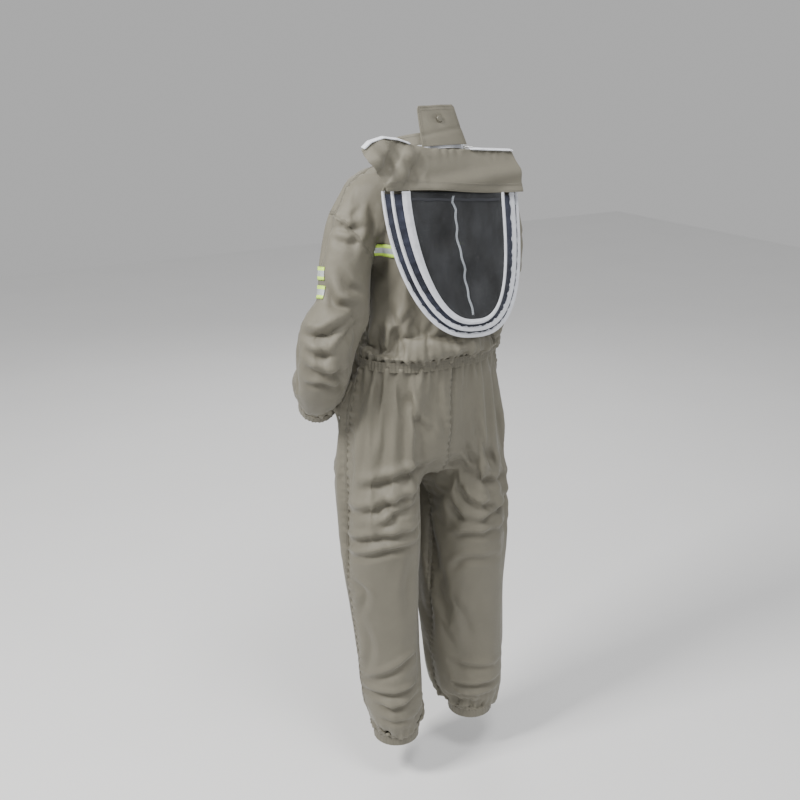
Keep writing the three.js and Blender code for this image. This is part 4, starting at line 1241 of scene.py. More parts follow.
class SUIT_OT_seams(bpy.types.Operator):
    """Felled seams with two rows of stitches between the panels"""
    bl_idname = "suit.seams"
    bl_label = "Seams"

    def execute(self, context):
        for name, pairs in SEAMS.items():
            chains = [c for pair in pairs for c in SHARED["chains"].get(pair, []) if len(c) > 10]
            made = [seam(SHARED["surface"], chain, name) for chain in chains]
            if made:
                whole = made[0] if len(made) == 1 else joined(name, made)
                piece(whole, "suit")
        return {"FINISHED"}


# ---------------------------------------------------------------- gathered bands and their elastics
def gathered_band(name, path, out, up, width, depth, closed, pitch, seed, rows=2, frill=0.0):
    """A casing drawn up by elastic: fine gathers across it and grooves where the elastic is sewn in."""
    path = resampled(path, pitch / 5, closed)
    index = np.linspace(0, len(out) - 1, len(path)).round().astype(int)
    out = unit(np.asarray(out)[index])
    rng = np.random.default_rng(seed)
    s = np.arange(len(path)) * pitch / 5
    wander = np.interp(s, np.linspace(0, s[-1], 40), rng.normal(0, 0.9, 40))
    if closed:
        wander[-12:] = np.linspace(wander[-12], wander[0], 12)
    gather = np.sin(2 * math.pi * s / pitch + wander) + 0.5 * np.sin(2 * math.pi * s / (pitch * 2.3) + 2 * wander)
    angle = (np.arange(26) + 0.5) * 2 * math.pi / 26
    across = np.sign(np.cos(angle)) * np.abs(np.cos(angle)) ** 0.4
    over = np.sign(np.sin(angle)) * np.abs(np.sin(angle)) ** 0.4
    groove = 0.5 + 0.5 * np.cos(math.pi * (rows + 1) * (across + 1) / 2 * 2 / (rows + 1) * (rows))
    rings = []
    for p, o, g in zip(path, out, gather):
        puff = depth * (0.5 + 0.20 * groove + 0.13 * g * (0.45 + 0.55 * np.abs(across)))
        rise = np.where(over > 0, over * puff, over * depth * 0.5) + depth * 0.5
        wide = across * (width / 2) * (1 + 0.03 * g) + frill * g * np.abs(across) ** 3
        rings.append(p + wide[:, None] * up + rise[:, None] * o)
    made = loft(name, rings, wrap=closed)
    paint(made, FINISH["twill"])
    threads = []
    for row in range(rows):
        at = (row + 1) / (rows + 1) * 2 - 1
        line = path + up * (at * width / 2) + out * (depth * (1.04 + 0.10 * gather[:, None]))
        threads.append(paint(stitches(f"{name}_thread", line, out, closed, 0.0026, 0.001), FINISH["thread"]))
    return joined(name, [made, *threads])


def ring_path(centre, along, radius, count=120):
    aside = unit(np.cross((0, 1, 0), along) if abs(along[1]) < 0.9 else (1, 0, 0))
    up = np.cross(along, aside)
    angle = np.arange(count)[:, None] * 2 * math.pi / count
    out = np.cos(angle) * aside + np.sin(angle) * up
    return centre + radius * out, out


def waist_path(grow=0.0, clear=0.016):
    """Round the waist from one side of the front zip to the other."""
    section = next(s for s in trunk_sections() if abs(s[0] - WAIST) < 1e-9)
    ring = resampled(trunk_ring(section, grow, 220), 0.003, True)
    start = int(np.argmin(np.abs(ring[:, 0]) + 10 * (ring[:, 1] > 0)))
    ring = np.roll(ring, -start, 0)
    ring = ring[(np.abs(ring[:, 0]) > clear) | (ring[:, 1] > 0)]
    along = directions(ring)
    out = unit(np.cross(along, (0, 0, 1)))
    if (out * ring).sum() < 0:
        out = -out
    return ring, out


class SUIT_OT_gathers(bpy.types.Operator):
    """The gathered waist, cuffs and ankle hems with the elastic inside each"""
    bl_idname = "suit.gathers"
    bl_label = "Waist, cuffs and hems"

    def execute(self, context):
        up = np.array((0.0, 0.0, 1.0))
        low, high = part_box("waist_casing")
        path, out = waist_path(-0.0006)
        casing = gathered_band("waist_gathers", path, out, up, high.z - low.z, 0.0052, False, 0.0075, 3, rows=3)
        piece(casing, "suit", ("waist_casing",))
        path, out = waist_path(0.0008, 0.018)
        elastic = bar("waist_elastic_band", path[::3], out[::3], rounded(0.0145, 0.0018))
        piece(elastic, "suit", ("waist_elastic",), FINISH["elastic"])
        for side in SIDES:
            end, along = wrist(side)
            centre = end + along * 0.0093
            path, out = ring_path(centre, along, CUFF_RADIUS - 0.0044)
            cuff = gathered_band(f"cuff_{side}_gathers", path, out, along, 0.018, 0.0050, True, 0.0066, 11,
                                 frill=0.0006)
            piece(cuff, "suit", (f"cuff_{side}",))
            path, out = ring_path(centre, along, CUFF_RADIUS - 0.0022, 90)
            inner = bar(f"cuff_{side}_elastic_band", path, out, rounded(0.0115, 0.0014), closed=True)
            piece(inner, "suit", (f"cuff_{side}_elastic",), FINISH["elastic"])
            centre = np.array(middle(f"hem_{side}"))
            path, out = ring_path(centre, up, ANKLE_RADIUS - 0.0046)
            hem = gathered_band(f"hem_{side}_gathers", path, out, up, HEM_TOP - HEM_LOW, 0.0054, True, 0.0074, 23,
                                frill=0.0009)
            piece(hem, "suit", (f"hem_{side}",))
            path, out = ring_path(centre, up, ANKLE_RADIUS - 0.0022, 110)
            inner = bar(f"hem_{side}_elastic_band", path, out, rounded(0.0135, 0.0014), closed=True)
            piece(inner, "suit", (f"hem_{side}_elastic",), FINISH["elastic"])
        return {"FINISHED"}


class SUIT_OT_pockets(bpy.types.Operator):
    """The stitched edges of the slanted pockets, and the bags inside"""
    bl_idname = "suit.pockets"
    bl_label = "Pockets"

    def execute(self, context):
        surface = SHARED["surface"]
        for side, sign in SIDES.items():
            top, low = mouth_line(side)
            t = np.linspace(0, 1, 34)[:, None]
            flat = low + (top - low) * t + np.array((0.005, 0.0))
            origins = np.column_stack([np.full(34, sign * 0.11), flat])
            ways = np.tile((sign, 0.0, 0.0), (34, 1))
            chain, _ = surface.aim(origins, ways, 0.0)
            steady = np.flatnonzero(np.abs(chain[:, 0] - np.median(chain[:, 0])) < 0.018)
            chain = np.column_stack([np.interp(np.arange(34), steady, chain[steady, k]) for k in range(3)])
            chain = softened(chain, 3)
            offsets = np.array([-0.0058, -0.005, 0.0, 0.005, 0.0058])
            welt, chain, across, out = strip_on(surface, chain, offsets, (0.0002, 0.0018, 0.0019, 0.0018, 0.0002),
                                                name=f"pocket_welt_{side}_edge")
            paint(welt, FINISH["twill"])
            parts = [welt]
            for offset in (-0.0036, 0.0036):
                line, up = surface.lay(chain + across * offset, 0.0022)
                parts.append(paint(stitches("pocket_thread", line, up), FINISH["thread"]))
            for end in (0, -1):
                bartack = chain[end] + across[end] * np.linspace(-0.006, 0.006, 12)[:, None]
                line, up = surface.lay(bartack, 0.0024)
                parts.append(paint(stitches("pocket_bartack", line, up, length=0.002, space=0.0002, radius=0.0007),
                                   FINISH["thread"]))
            piece(joined(f"pocket_welt_{side}_edge", parts), "suit", (f"pocket_welt_{side}",))
            low_corner, high_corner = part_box(f"pocket_bag_{side}")
            rings = []
            for share in np.linspace(0, 1, 24):
                z = high_corner.z - 0.012 - share * (high_corner.z - low_corner.z - 0.016)
                round_off = math.sqrt(max(1 - max(share - 0.72, 0) ** 2 / 0.0785, 0.02))
                half = (0.046 - 0.012 * (1 - share)) * round_off
                centre_y = (low_corner.y + high_corner.y) / 2 + 0.006 - 0.012 * share
                angle = np.arange(36) * 2 * math.pi / 36
                bulge = 0.0050 * math.sin(math.pi * min(share + 0.08, 1)) + 0.0016
                y = centre_y + half * np.sign(np.cos(angle)) * np.abs(np.cos(angle)) ** 0.8
                room = 0.168 * (1 - np.minimum(np.abs(y) / 0.106, 0.98) ** 2.3) ** (1 / 2.3) - 0.014
                x = sign * np.minimum(0.140, room) + bulge * np.sin(angle)
                rings.append(np.column_stack([x, y, np.full(36, z)]))
            bag = loft(f"pocket_bag_{side}_cloth", rings)
            piece(bag, "suit", (f"pocket_bag_{side}",), FINISH["lining"])
        return {"FINISHED"}


# ---------------------------------------------------------------- reflective tape
def tape_patch(name, points, thickness=0.0009):
    """A tape from a grid of points, rows across it and columns along it, with a UV across."""
    rows, columns = points.shape[:2]
    made = mesh_object(name, points.reshape(-1, 3), grid_faces(rows, columns))
    layer = made.data.uv_layers.new(name="across")
    share = np.repeat(np.linspace(0, 1, rows), columns)
    for loop in made.data.loops:
        layer.data[loop.index].uv = (loop.vertex_index % columns / columns, share[loop.vertex_index])
    thick = made.modifiers.new("Thickness", "SOLIDIFY")
    thick.thickness = thickness
    thick.offset = 0
    return apply_all(made)


def wrapped_tape(name, surface, origins, ways, across, width, lift=0.0012, reach=None):
    """Tape round the cloth, laid from inside, or from outside when a reach is given."""
    rows = []
    for share in np.linspace(-0.5, 0.5, 7):
        start = origins + across * (share * width)
        spots, _ = surface.aim(start, ways) if reach is None else surface.shine(start, ways, reach)
        straight = ((spots - start) * ways).sum(1)
        if reach is None:
            straight = np.minimum(straight, 0.106)
        far = np.maximum.reduce([np.roll(straight, k) for k in (-1, 0, 1)])
        far[0], far[-1] = straight[[0, -1]]
        rows.append(softened(far[:, None], 2)[:, 0])
    far = np.array(rows)
    far = np.maximum(far, (np.roll(far, 1, 0) + np.roll(far, -1, 0)) / 2 * (np.arange(7)[:, None] % 6 > 0))
    shares = np.linspace(-0.5, 0.5, 7)
    grid = np.array([origins + across * (s * width) + ways * (f + lift)[:, None] for s, f in zip(shares, far)])
    made = tape_patch(name, grid)
    paint(made, FINISH["reflective"])
    parts = [made]
    for row, inner in ((0, 1), (6, 5)):
        line = grid[row] * 0.75 + grid[inner] * 0.25
        out = ways
        parts.append(paint(stitches("tape_thread", line + out * 0.0006, out, radius=0.00026), FINISH["thread"]))
    return joined(name, parts)


class SUIT_OT_reflective_tape(bpy.types.Operator):
    """Reflective tape round the chest and on both upper sleeves"""
    bl_idname = "suit.reflective_tape"
    bl_label = "Reflective tape"

    def execute(self, context):
        surface = SHARED["surface"]
        low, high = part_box("back_band")
        width = high.z - low.z
        height = middle("back_band").z
        up = np.array((0.0, 0.0, 1.0))
        spans = {"back_band": (4, 176), "chest_band_left": (-4, -82), "chest_band_right": (184, 262)}
        for node, (start, end) in spans.items():
            angle = np.radians(np.linspace(start, end, 90 if node == "back_band" else 46))
            ways = np.column_stack([np.cos(angle), np.sin(angle), np.zeros(len(angle))])
            origins = np.column_stack([0.04 * np.cos(angle), 0 * angle, np.full(len(angle), height)])
            tape = wrapped_tape(f"{node}_tape", surface, origins, ways, up, width)
            piece(tape, "suit", (node,))
        for side, sign in SIDES.items():
            path, _ = sleeve_path(side, 200)
            ahead = directions(path)
            for label, share in (("upper", 0.395), ("lower", 0.485)):
                at = int(share * 199)
                aside = unit(np.cross((0, 1, 0), ahead[at])) * sign
                aside = aside if aside[0] * sign > 0 else -aside
                fore = np.cross(ahead[at], aside)
                fore = fore if fore[1] < 0 else -fore
                angle = np.radians(np.linspace(-16, 150, 60))[:, None]
                ways = np.cos(angle) * aside + np.sin(angle) * fore
                origins = np.tile(path[at], (60, 1)) + ways * 0.008
                tape = wrapped_tape(f"sleeve_band_{label}_{side}_tape", surface, origins, ways, -ahead[at], width,
                                    reach=0.075)
                piece(tape, "suit", (f"sleeve_band_{label}_{side}",))
        return {"FINISHED"}


# ---------------------------------------------------------------- front zip
def zip_point(angle, lift=0.0, x=0.0):
    radius = ZIP_RADIUS + lift
    return np.array((x, ZIP_CENTRE.y - radius * math.cos(angle), ZIP_CENTRE.z + radius * math.sin(angle)))


def zip_out(angle):
    return np.array((0.0, -math.cos(angle), math.sin(angle)))


def coil_teeth(name, centres, along, out, width=0.0034, size=0.0011):
    """Moulded teeth across the place where two zip tapes meet."""
    points, faces = [], []
    side = np.cross(along, out)
    for i, (c, a, o, s) in enumerate(zip(centres, along, out, side)):
        start = len(points)
        shift = (1 if i % 2 else -1) * 0.00035
        for level, half, tall in ((0.0, 1.0, 0.75), (0.9, 0.85, 0.55)):
            for across, ahead in ((-1, -1), (1, -1), (1, 1), (-1, 1)):
                points.append(c + s * (across * width / 2 * half + shift) + a * ahead * size / 2 * tall + o * level * size)
        for k in range(4):
            i0, i1 = start + k, start + (k + 1) % 4
            faces.append((i0, i1, i1 + 4, i0 + 4))
        faces.append((start + 3, start + 2, start + 1, start))
        faces.append((start + 4, start + 5, start + 6, start + 7))
    return mesh_object(name, points, faces, smooth=False)


class SUIT_OT_front_zip(bpy.types.Operator):
    """The front zip: two tapes with teeth, stitched beside the closure, its slider and its pull"""
    bl_idname = "suit.front_zip"
    bl_label = "Front zip"

    def execute(self, context):
        low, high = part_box("front_zip_tape_left")
        top = math.asin((high.z - ZIP_CENTRE.z) / ZIP_RADIUS)
        bottom = math.asin((low.z - ZIP_CENTRE.z) / ZIP_RADIUS)
        angles = np.linspace(bottom, top, 120)
        out = np.array([zip_out(a) for a in angles])
        width = high.x
        for side, sign in SIDES.items():
            path = np.array([zip_point(a, 0.0008, sign * width / 2) for a in angles])
            tape = paint(bar(f"front_zip_tape_{side}_woven", path, out, rounded(width - 0.0004, 0.0012, 0.2)),
                         FINISH["zip_tape"])
            line = path + np.array((sign * (width / 2 - 0.002), 0, 0)) + out * 0.0008
            sewn = paint(stitches("zip_thread", line, out), FINISH["thread"])
            piece(joined(f"front_zip_tape_{side}_woven", [tape, sewn]), "suit",
                  (f"front_zip_tape_{side}",))
        count = int((top - bottom) * ZIP_RADIUS / 0.0021)
        places = np.linspace(bottom, top, count)
        centres = np.array([zip_point(a, 0.0013) for a in places])
        ways = np.array([zip_out(a) for a in places])
        piece(coil_teeth("front_zip_teeth", centres, directions(centres), ways), "suit",
              material=FINISH["coil"])
        for node in ("front_zip_slider", "front_zip_pull"):
            paint(frame["nodes"][node], FINISH["metal"])
        return {"FINISHED"}


# ---------------------------------------------------------------- collar, neck zip and nape flap
LEAN_UP = np.array((0.0, -math.sin(COLLAR_TILT), math.cos(COLLAR_TILT)))
LEAN_BACK = np.array((0.0, math.cos(COLLAR_TILT), math.sin(COLLAR_TILT)))


def neck_circle(radius, height, start, end, count):
    """Points round the collar; the angle is 0 on the wearer's left and 90 degrees at the nape."""
    angle = np.radians(np.linspace(start, end, count))[:, None]
    out = np.cos(angle) * np.array((1.0, 0, 0)) + np.sin(angle) * LEAN_BACK
    return radius * out + height * LEAN_UP, out


class SUIT_OT_collar(bpy.types.Operator):
    """The stand collar, and the white zip tape round its base with both sliders"""
    bl_idname = "suit.collar"
    bl_label = "Collar"

    def execute(self, context):
        height, thick = 0.036, 0.0032
        count = 200
        path, out = neck_circle(COLLAR_RADIUS - 0.0019, height / 2, -88.6, 268.6, count)
        angle = np.radians(np.linspace(-88.6, 268.6, count))
        section = rounded(height - 0.0008, thick, 0.22, 28)
        rings = []
        for i, (p, o) in enumerate(zip(path, out)):
            share = section[:, 0] / height + 0.5
            sway = 0.0022 * math.sin(3 * angle[i] + 0.6) + 0.0012 * math.sin(7 * angle[i])
            inward = -0.0035 * share**1.5 + sway * share**2
            drop = 0.0016 * math.sin(2 * angle[i] + 1.0) * share
            rings.append(p + (section[:, 0] + drop)[:, None] * LEAN_UP + (section[:, 1] + inward)[:, None] * o)
        stand = paint(loft("collar_stand", rings), FINISH["twill"])
        surface = Surface(stand)
        parts = [stand]
        for level in (0.0155, 0.0325):
            line, way = neck_circle(COLLAR_RADIUS + 0.006, level, -86, 266, 300)
            spots, up = surface.lay(line, 0.0003)
            parts.append(paint(stitches("collar_thread", spots, up), FINISH["thread"]))
        piece(joined("collar_stand", parts), "suit", ("collar",))
        path, out = neck_circle(COLLAR_RADIUS + 0.00095, 0.0063, -84, 264, 220)
        tape = paint(bar("neck_zip_tape_woven", path, out, rounded(0.0112, 0.0014, 0.2)), FINISH["trim"])
        line, way = neck_circle(COLLAR_RADIUS + 0.0018, 0.0036, -84, 264, 500)
        sewn = paint(stitches("neck_zip_thread", line, way), FINISH["trim_thread"])
        centres, ways = neck_circle(COLLAR_RADIUS + 0.0016, 0.0108, -83, 263, 215)
        teeth = coil_teeth("neck_teeth", centres, directions(centres), ways, 0.0026, 0.0012)
        paint(teeth, FINISH["white_coil"])
        piece(joined("neck_zip_tape_woven", [tape, sewn, teeth]), "suit", ("neck_zip_tape",))
        for side in SIDES:
            for part in ("slider", "pull"):
                paint(frame["nodes"][f"neck_zip_{part}_{side}"], FINISH["metal"])
        return {"FINISHED"}


FLAP_HEIGHT = 0.076
FLAP_BASE = 0.100
FLAP_TOP = 0.080
FLAP_SHIFT = 0.010


class SUIT_OT_nape_flap(bpy.types.Operator):
    """The flap that stands at the nape, with its snap"""
    bl_idname = "suit.nape_flap"
    bl_label = "Nape flap"

    def execute(self, context):
        base = np.array(JOINTS["nape_flap_fold"]["pos_m"])
        rows, columns = 34, 40
        v = np.linspace(0, 1, rows)[:, None]
        u = np.linspace(-1, 1, columns)[None]

        def place(u, v, lift=0.0):
            half = (FLAP_BASE + (FLAP_TOP - FLAP_BASE) * v) / 2
            corner = 0.0016 * np.clip((np.abs(u) - 0.93) / 0.07, 0, 1) ** 2 * np.clip((v - 0.95) / 0.05, 0, 1)
            x = u * half + FLAP_SHIFT * v - np.sign(u) * corner * 1.5
            dimple = 0.0030 * np.exp(-(((u - 0.02) / 0.30) ** 2) - ((v - 0.66) / 0.14) ** 2)
            soft = 0.0016 * np.sin(4.2 * v + 1.6 * u) * v + 0.0011 * np.sin(6 * u - 5 * v + 1)
            crease = 0.0012 * np.exp(-(((v - 0.34 + 0.08 * u) / 0.06) ** 2))
            out = -0.0040 * u**2 * (1 - 0.35 * v) + soft * v - dimple - crease + lift
            return (base + x[..., None] * np.array((1.0, 0, 0)) + (v * FLAP_HEIGHT * (1 + 0 * u) - corner)[..., None]
                    * LEAN_UP + out[..., None] * LEAN_BACK)
        points = place(u + 0 * v, v + 0 * u)
        cloth = mesh_object("nape_flap_cloth", points.reshape(-1, 3), grid_faces(rows, columns))
        thick = cloth.modifiers.new("Thickness", "SOLIDIFY")
        thick.thickness = 0.0026
        thick.offset = 0
        soften = cloth.modifiers.new("Edge", "BEVEL")
        soften.width = 0.0007
        soften.segments = 2
        soften.limit_method = "ANGLE"
        paint(apply_all(cloth), FINISH["twill"])
        parts = [cloth]
        for inset in (0.05, 0.13):
            u_line = np.concatenate([np.full(30, -1 + inset), np.linspace(-1 + inset, 1 - inset, 40),
                                     np.full(30, 1 - inset)])
            v_line = np.concatenate([np.linspace(0.02, 1 - inset * 0.9, 30), np.full(40, 1 - inset * 0.9),
                                     np.linspace(1 - inset * 0.9, 0.02, 30)])
            line = place(u_line, v_line, 0.0016)
            parts.append(paint(stitches("flap_thread", line, np.tile(LEAN_BACK, (100, 1))), FINISH["thread"]))
        whole = joined("nape_flap_cloth", parts)
        piece(whole, "nape_flap", ("nape_flap",))
        centre = middle("nape_snap")
        profile = [(0.0, 0.0014), (0.0022, 0.0013), (0.0034, 0.0008), (0.0040, 0.0011), (0.0052, 0.0010),
                   (0.0061, 0.0002), (0.0063, -0.0006), (0.0058, -0.0010), (0.0, -0.0010)]
        angle = np.arange(40)[:, None] * 2 * math.pi / 40
        aside = np.array((1.0, 0, 0))
        rings = [np.array(centre) + LEAN_BACK * h + max(r, 0.00005) * (np.cos(angle) * aside + np.sin(angle) * LEAN_UP)
                 for r, h in profile]
        piece(loft("nape_snap_cap", rings), "nape_flap", ("nape_snap",), FINISH["snap"])
        return {"FINISHED"}


# ---------------------------------------------------------------- hood, thrown back
HOOD_ORIGIN = np.array(JOINTS["hood_swing"]["pos_m"])
HOOD_ACROSS = unit(np.array(JOINTS["hood_swing"]["axis"]))
HOOD_TILT = math.radians(8.5)
HOOD_OUT = np.array((0.0, math.cos(HOOD_TILT), math.sin(HOOD_TILT)))
HOOD_UP = np.cross(HOOD_ACROSS, HOOD_OUT)
BAND_DROP = 0.080
BAND_FLARE = 0.017
VEIL_LENGTH = 0.277
VEIL_HALF = 0.152
VEIL_OFFSET = 0.010
VEIL_SKEW = 0.052
# For each hoop: how far it lies inside the outer one at its sides and its end, and its depth off the back.
HOOPS = {"outer": (0.0, 0.0, 0.0047), "middle": (0.016, 0.013, 0.0111), "inner": (0.042, 0.027, 0.0175)}


def in_hood(x, y, z):
    """A place in the hood: x across, y away from the wearer's back, z up from the fold line."""
    x, y, z = np.broadcast_arrays(x, y, z)
    return HOOD_ORIGIN + x[..., None] * HOOD_ACROSS + y[..., None] * HOOD_OUT + z[..., None] * HOOD_UP


def hoop_line(t, side, end):
    """x and z along a hoop, t from 0 on the wearer's left to 1 on their right."""
    angle = math.pi * np.asarray(t, float)
    c, s = np.cos(angle), np.maximum(np.sin(angle), 0)
    drop = (VEIL_LENGTH - end) * s**0.9
    x = (VEIL_HALF - side) * np.sign(c) * np.abs(c) ** 0.8 - VEIL_SKEW * (drop / VEIL_LENGTH) ** 1.3
    return x - VEIL_OFFSET, -BAND_DROP - 0.0003 - drop


def hoop_span(z, side, end):
    """The hoop's right and left x at each height."""
    t = np.linspace(0, 1, 600)
    x, height = hoop_line(t, side, end)
    half = len(t) // 2
    left = np.interp(-z, -height[:half], x[:half])
    right = np.interp(-z, -height[half:][::-1], x[half:][::-1])
    return right, left


class SUIT_OT_hood_cloth(bpy.types.Operator):
    """The hood's cloth band with its stitched hem, the white zip tapes along its top, and the back panel"""
    bl_idname = "suit.hood_cloth"
    bl_label = "Hood cloth"

    def execute(self, context):
        rows, columns = 60, 170
        v = np.linspace(0, 1, rows)[:, None] + np.zeros((1, columns))
        u = np.linspace(0, 1, columns)[None] + np.zeros((rows, 1))
        top_x = (-0.152, -0.046, 0.0, 0.046, 0.078, 0.110, 0.140, 0.168, 0.184)
        top_z = (0.0, 0.0, -0.001, 0.0, 0.005, 0.013, 0.015, 0.006, -0.008)

        def place(u, v, lift=0.0):
            left = np.interp(v, (0, 0.30, 0.70, 1), (0.184, 0.178, 0.150, 0.140))
            right = np.interp(v, (0, 0.45, 1), (-0.152, -0.164, -0.166))
            x = right + (left - right) * u
            top = np.interp(-0.152 + 0.336 * u, top_x, top_z)
            z = top + (-BAND_DROP - top) * v
            y = 0.001 + BAND_FLARE * v
            lobe = np.clip((x - 0.085) / 0.07, 0, 1)
            y = y + 0.010 * lobe * np.sin(math.pi * np.clip(v * 1.1, 0, 1)) ** 0.7
            ripple = np.sin(x * 88 + z * 62 + 1.2)
            twist = (np.abs(ripple) ** 0.6 * np.sign(ripple) * 0.0060 + np.sin(x * 150 - z * 95 + 0.4) * 0.0030)
            twist = twist * np.clip((x - 0.045) / 0.05, 0, 1) * np.sin(math.pi * v * 0.97) ** 0.7
            wide = np.sin(z * 70 + 2.0 * np.sin(x * 13 + 0.5)) + 0.8
            wide = 0.0040 * wide * (1 - lobe) * np.sin(math.pi * v * 0.96) ** 0.8
            fine = 0.0013 * np.sin(z * 150 + x * 31) * np.sin(math.pi * v)
            gather = 0.0014 * np.sin(x * 260 + 2 * np.sin(x * 60)) * np.exp(-v / 0.10) * (v > 0)
            hem = 0.0009 * (v > 0.80)
            wavy = 0.0030 * np.sin(x * 33 + 0.8) * v**3 + 0.0016 * np.sin(x * 71) * v**3
            bow = 0.0018 * np.sin(x * 24 + 0.3) * v**2
            return in_hood(x, y + twist + wide + fine + gather + hem + wavy + lift, z + bow)
        points = place(u, v)
        cloth = mesh_object("hood_band_cloth", points.reshape(-1, 3), grid_faces(rows, columns, flip=True))
        thick = cloth.modifiers.new("Thickness", "SOLIDIFY")
        thick.thickness = 0.0028
        thick.offset = 0
        soften = cloth.modifiers.new("Edge", "BEVEL")
        soften.width = 0.0009
        soften.segments = 2
        soften.limit_method = "ANGLE"
        paint(apply_all(cloth), FINISH["twill"])
        parts = [cloth]
        for level in (0.805, 0.835, 0.965):
            line = place(np.linspace(0.01, 0.99, 260), np.full(260, level), 0.0017)
            parts.append(paint(stitches("hood_thread", line, np.tile(HOOD_OUT, (260, 1))), FINISH["thread"]))
        band = joined("hood_band_cloth", parts)
        piece(band, "hood", ("hood_band",))
        spans = {"left": (0.700, 0.992), "right": (0.004, 0.295)}
        for side, (start, end) in spans.items():
            t = np.linspace(start, end, 110)
            upper = place(t, np.zeros(110))
            path = upper + HOOD_UP * 0.0016 + HOOD_OUT * (0.0012 + 0.0008 * np.sin(t * 60))[:, None]
            tape = bar(f"hood_zip_tape_{side}_woven", path, np.tile(unit(HOOD_UP + 0.45 * HOOD_OUT), (110, 1)),
                       rounded(0.0108, 0.0017, 0.25))
            paint(tape, FINISH["trim"])
            way = unit(HOOD_UP + 0.45 * HOOD_OUT)
            aside = unit(np.cross(HOOD_ACROSS, way))
            sewn = paint(stitches("hood_zip_thread", path + way * 0.0010 + aside * 0.0030, np.tile(way, (110, 1))),
                         FINISH["trim_thread"])
            even = resampled(path + way * 0.0008 - aside * 0.0042, 0.0019)
            teeth = coil_teeth("hood_teeth", even, directions(even), np.tile(way, (len(even), 1)), 0.0022, 0.0011)
            paint(teeth, FINISH["white_coil"])
            piece(joined(f"hood_zip_tape_{side}_woven", [tape, sewn, teeth]), "hood",
                  (f"hood_zip_tape_{side}",))
        self.back_panel()
        return {"FINISHED"}

    def back_panel(self):
        rows, columns = 80, 60
        end = -BAND_DROP - VEIL_LENGTH - 0.0003
        z = np.concatenate([np.linspace(-0.026, -BAND_DROP, 16), -BAND_DROP + (end + BAND_DROP + 0.0008)
                            * np.sin(np.linspace(0, math.pi / 2, rows - 15))[1:]])
        right, left = hoop_span(np.minimum(z, -BAND_DROP - 0.0004), -0.001, -0.001)
        above = np.clip((z + BAND_DROP) / (BAND_DROP - 0.026), 0, 1)
        right, left = right + (-0.110 - right) * above, left + (0.110 - left) * above
        u = np.linspace(0, 1, columns)[None]
        x = right[:, None] + (left - right)[:, None] * u
        y = 0.0011 + 0.0007 * np.sin(x * 70 + z[:, None] * 40) * np.sin(math.pi * u)
        points = in_hood(x, y, z[:, None] + 0 * x)
        cloth = mesh_object("hood_back_cloth", points.reshape(-1, 3), grid_faces(len(z), columns, flip=True))
        thick = cloth.modifiers.new("Thickness", "SOLIDIFY")
        thick.thickness = 0.0010
        thick.offset = 0
        piece(apply_all(cloth), "hood", ("hood_back",), FINISH["twill"])


# ---------------------------------------------------------------- hoops
def binding_width(name, t):
    """The bindings lie flatter, and so look wider, on the wearer's left."""
    if name == "inner":
        return np.interp(t, (0, 0.12, 0.3, 0.5, 0.72, 1), (0.0185, 0.0175, 0.0125, 0.0100, 0.0065, 0.0070))
    if name == "middle":
        return np.interp(t, (0, 0.3, 0.6, 0.85, 1), (0.0068, 0.0090, 0.0118, 0.0125, 0.0130))
    return np.interp(t, (0, 0.3, 0.6, 1), (0.0070, 0.0100, 0.0115, 0.0080))


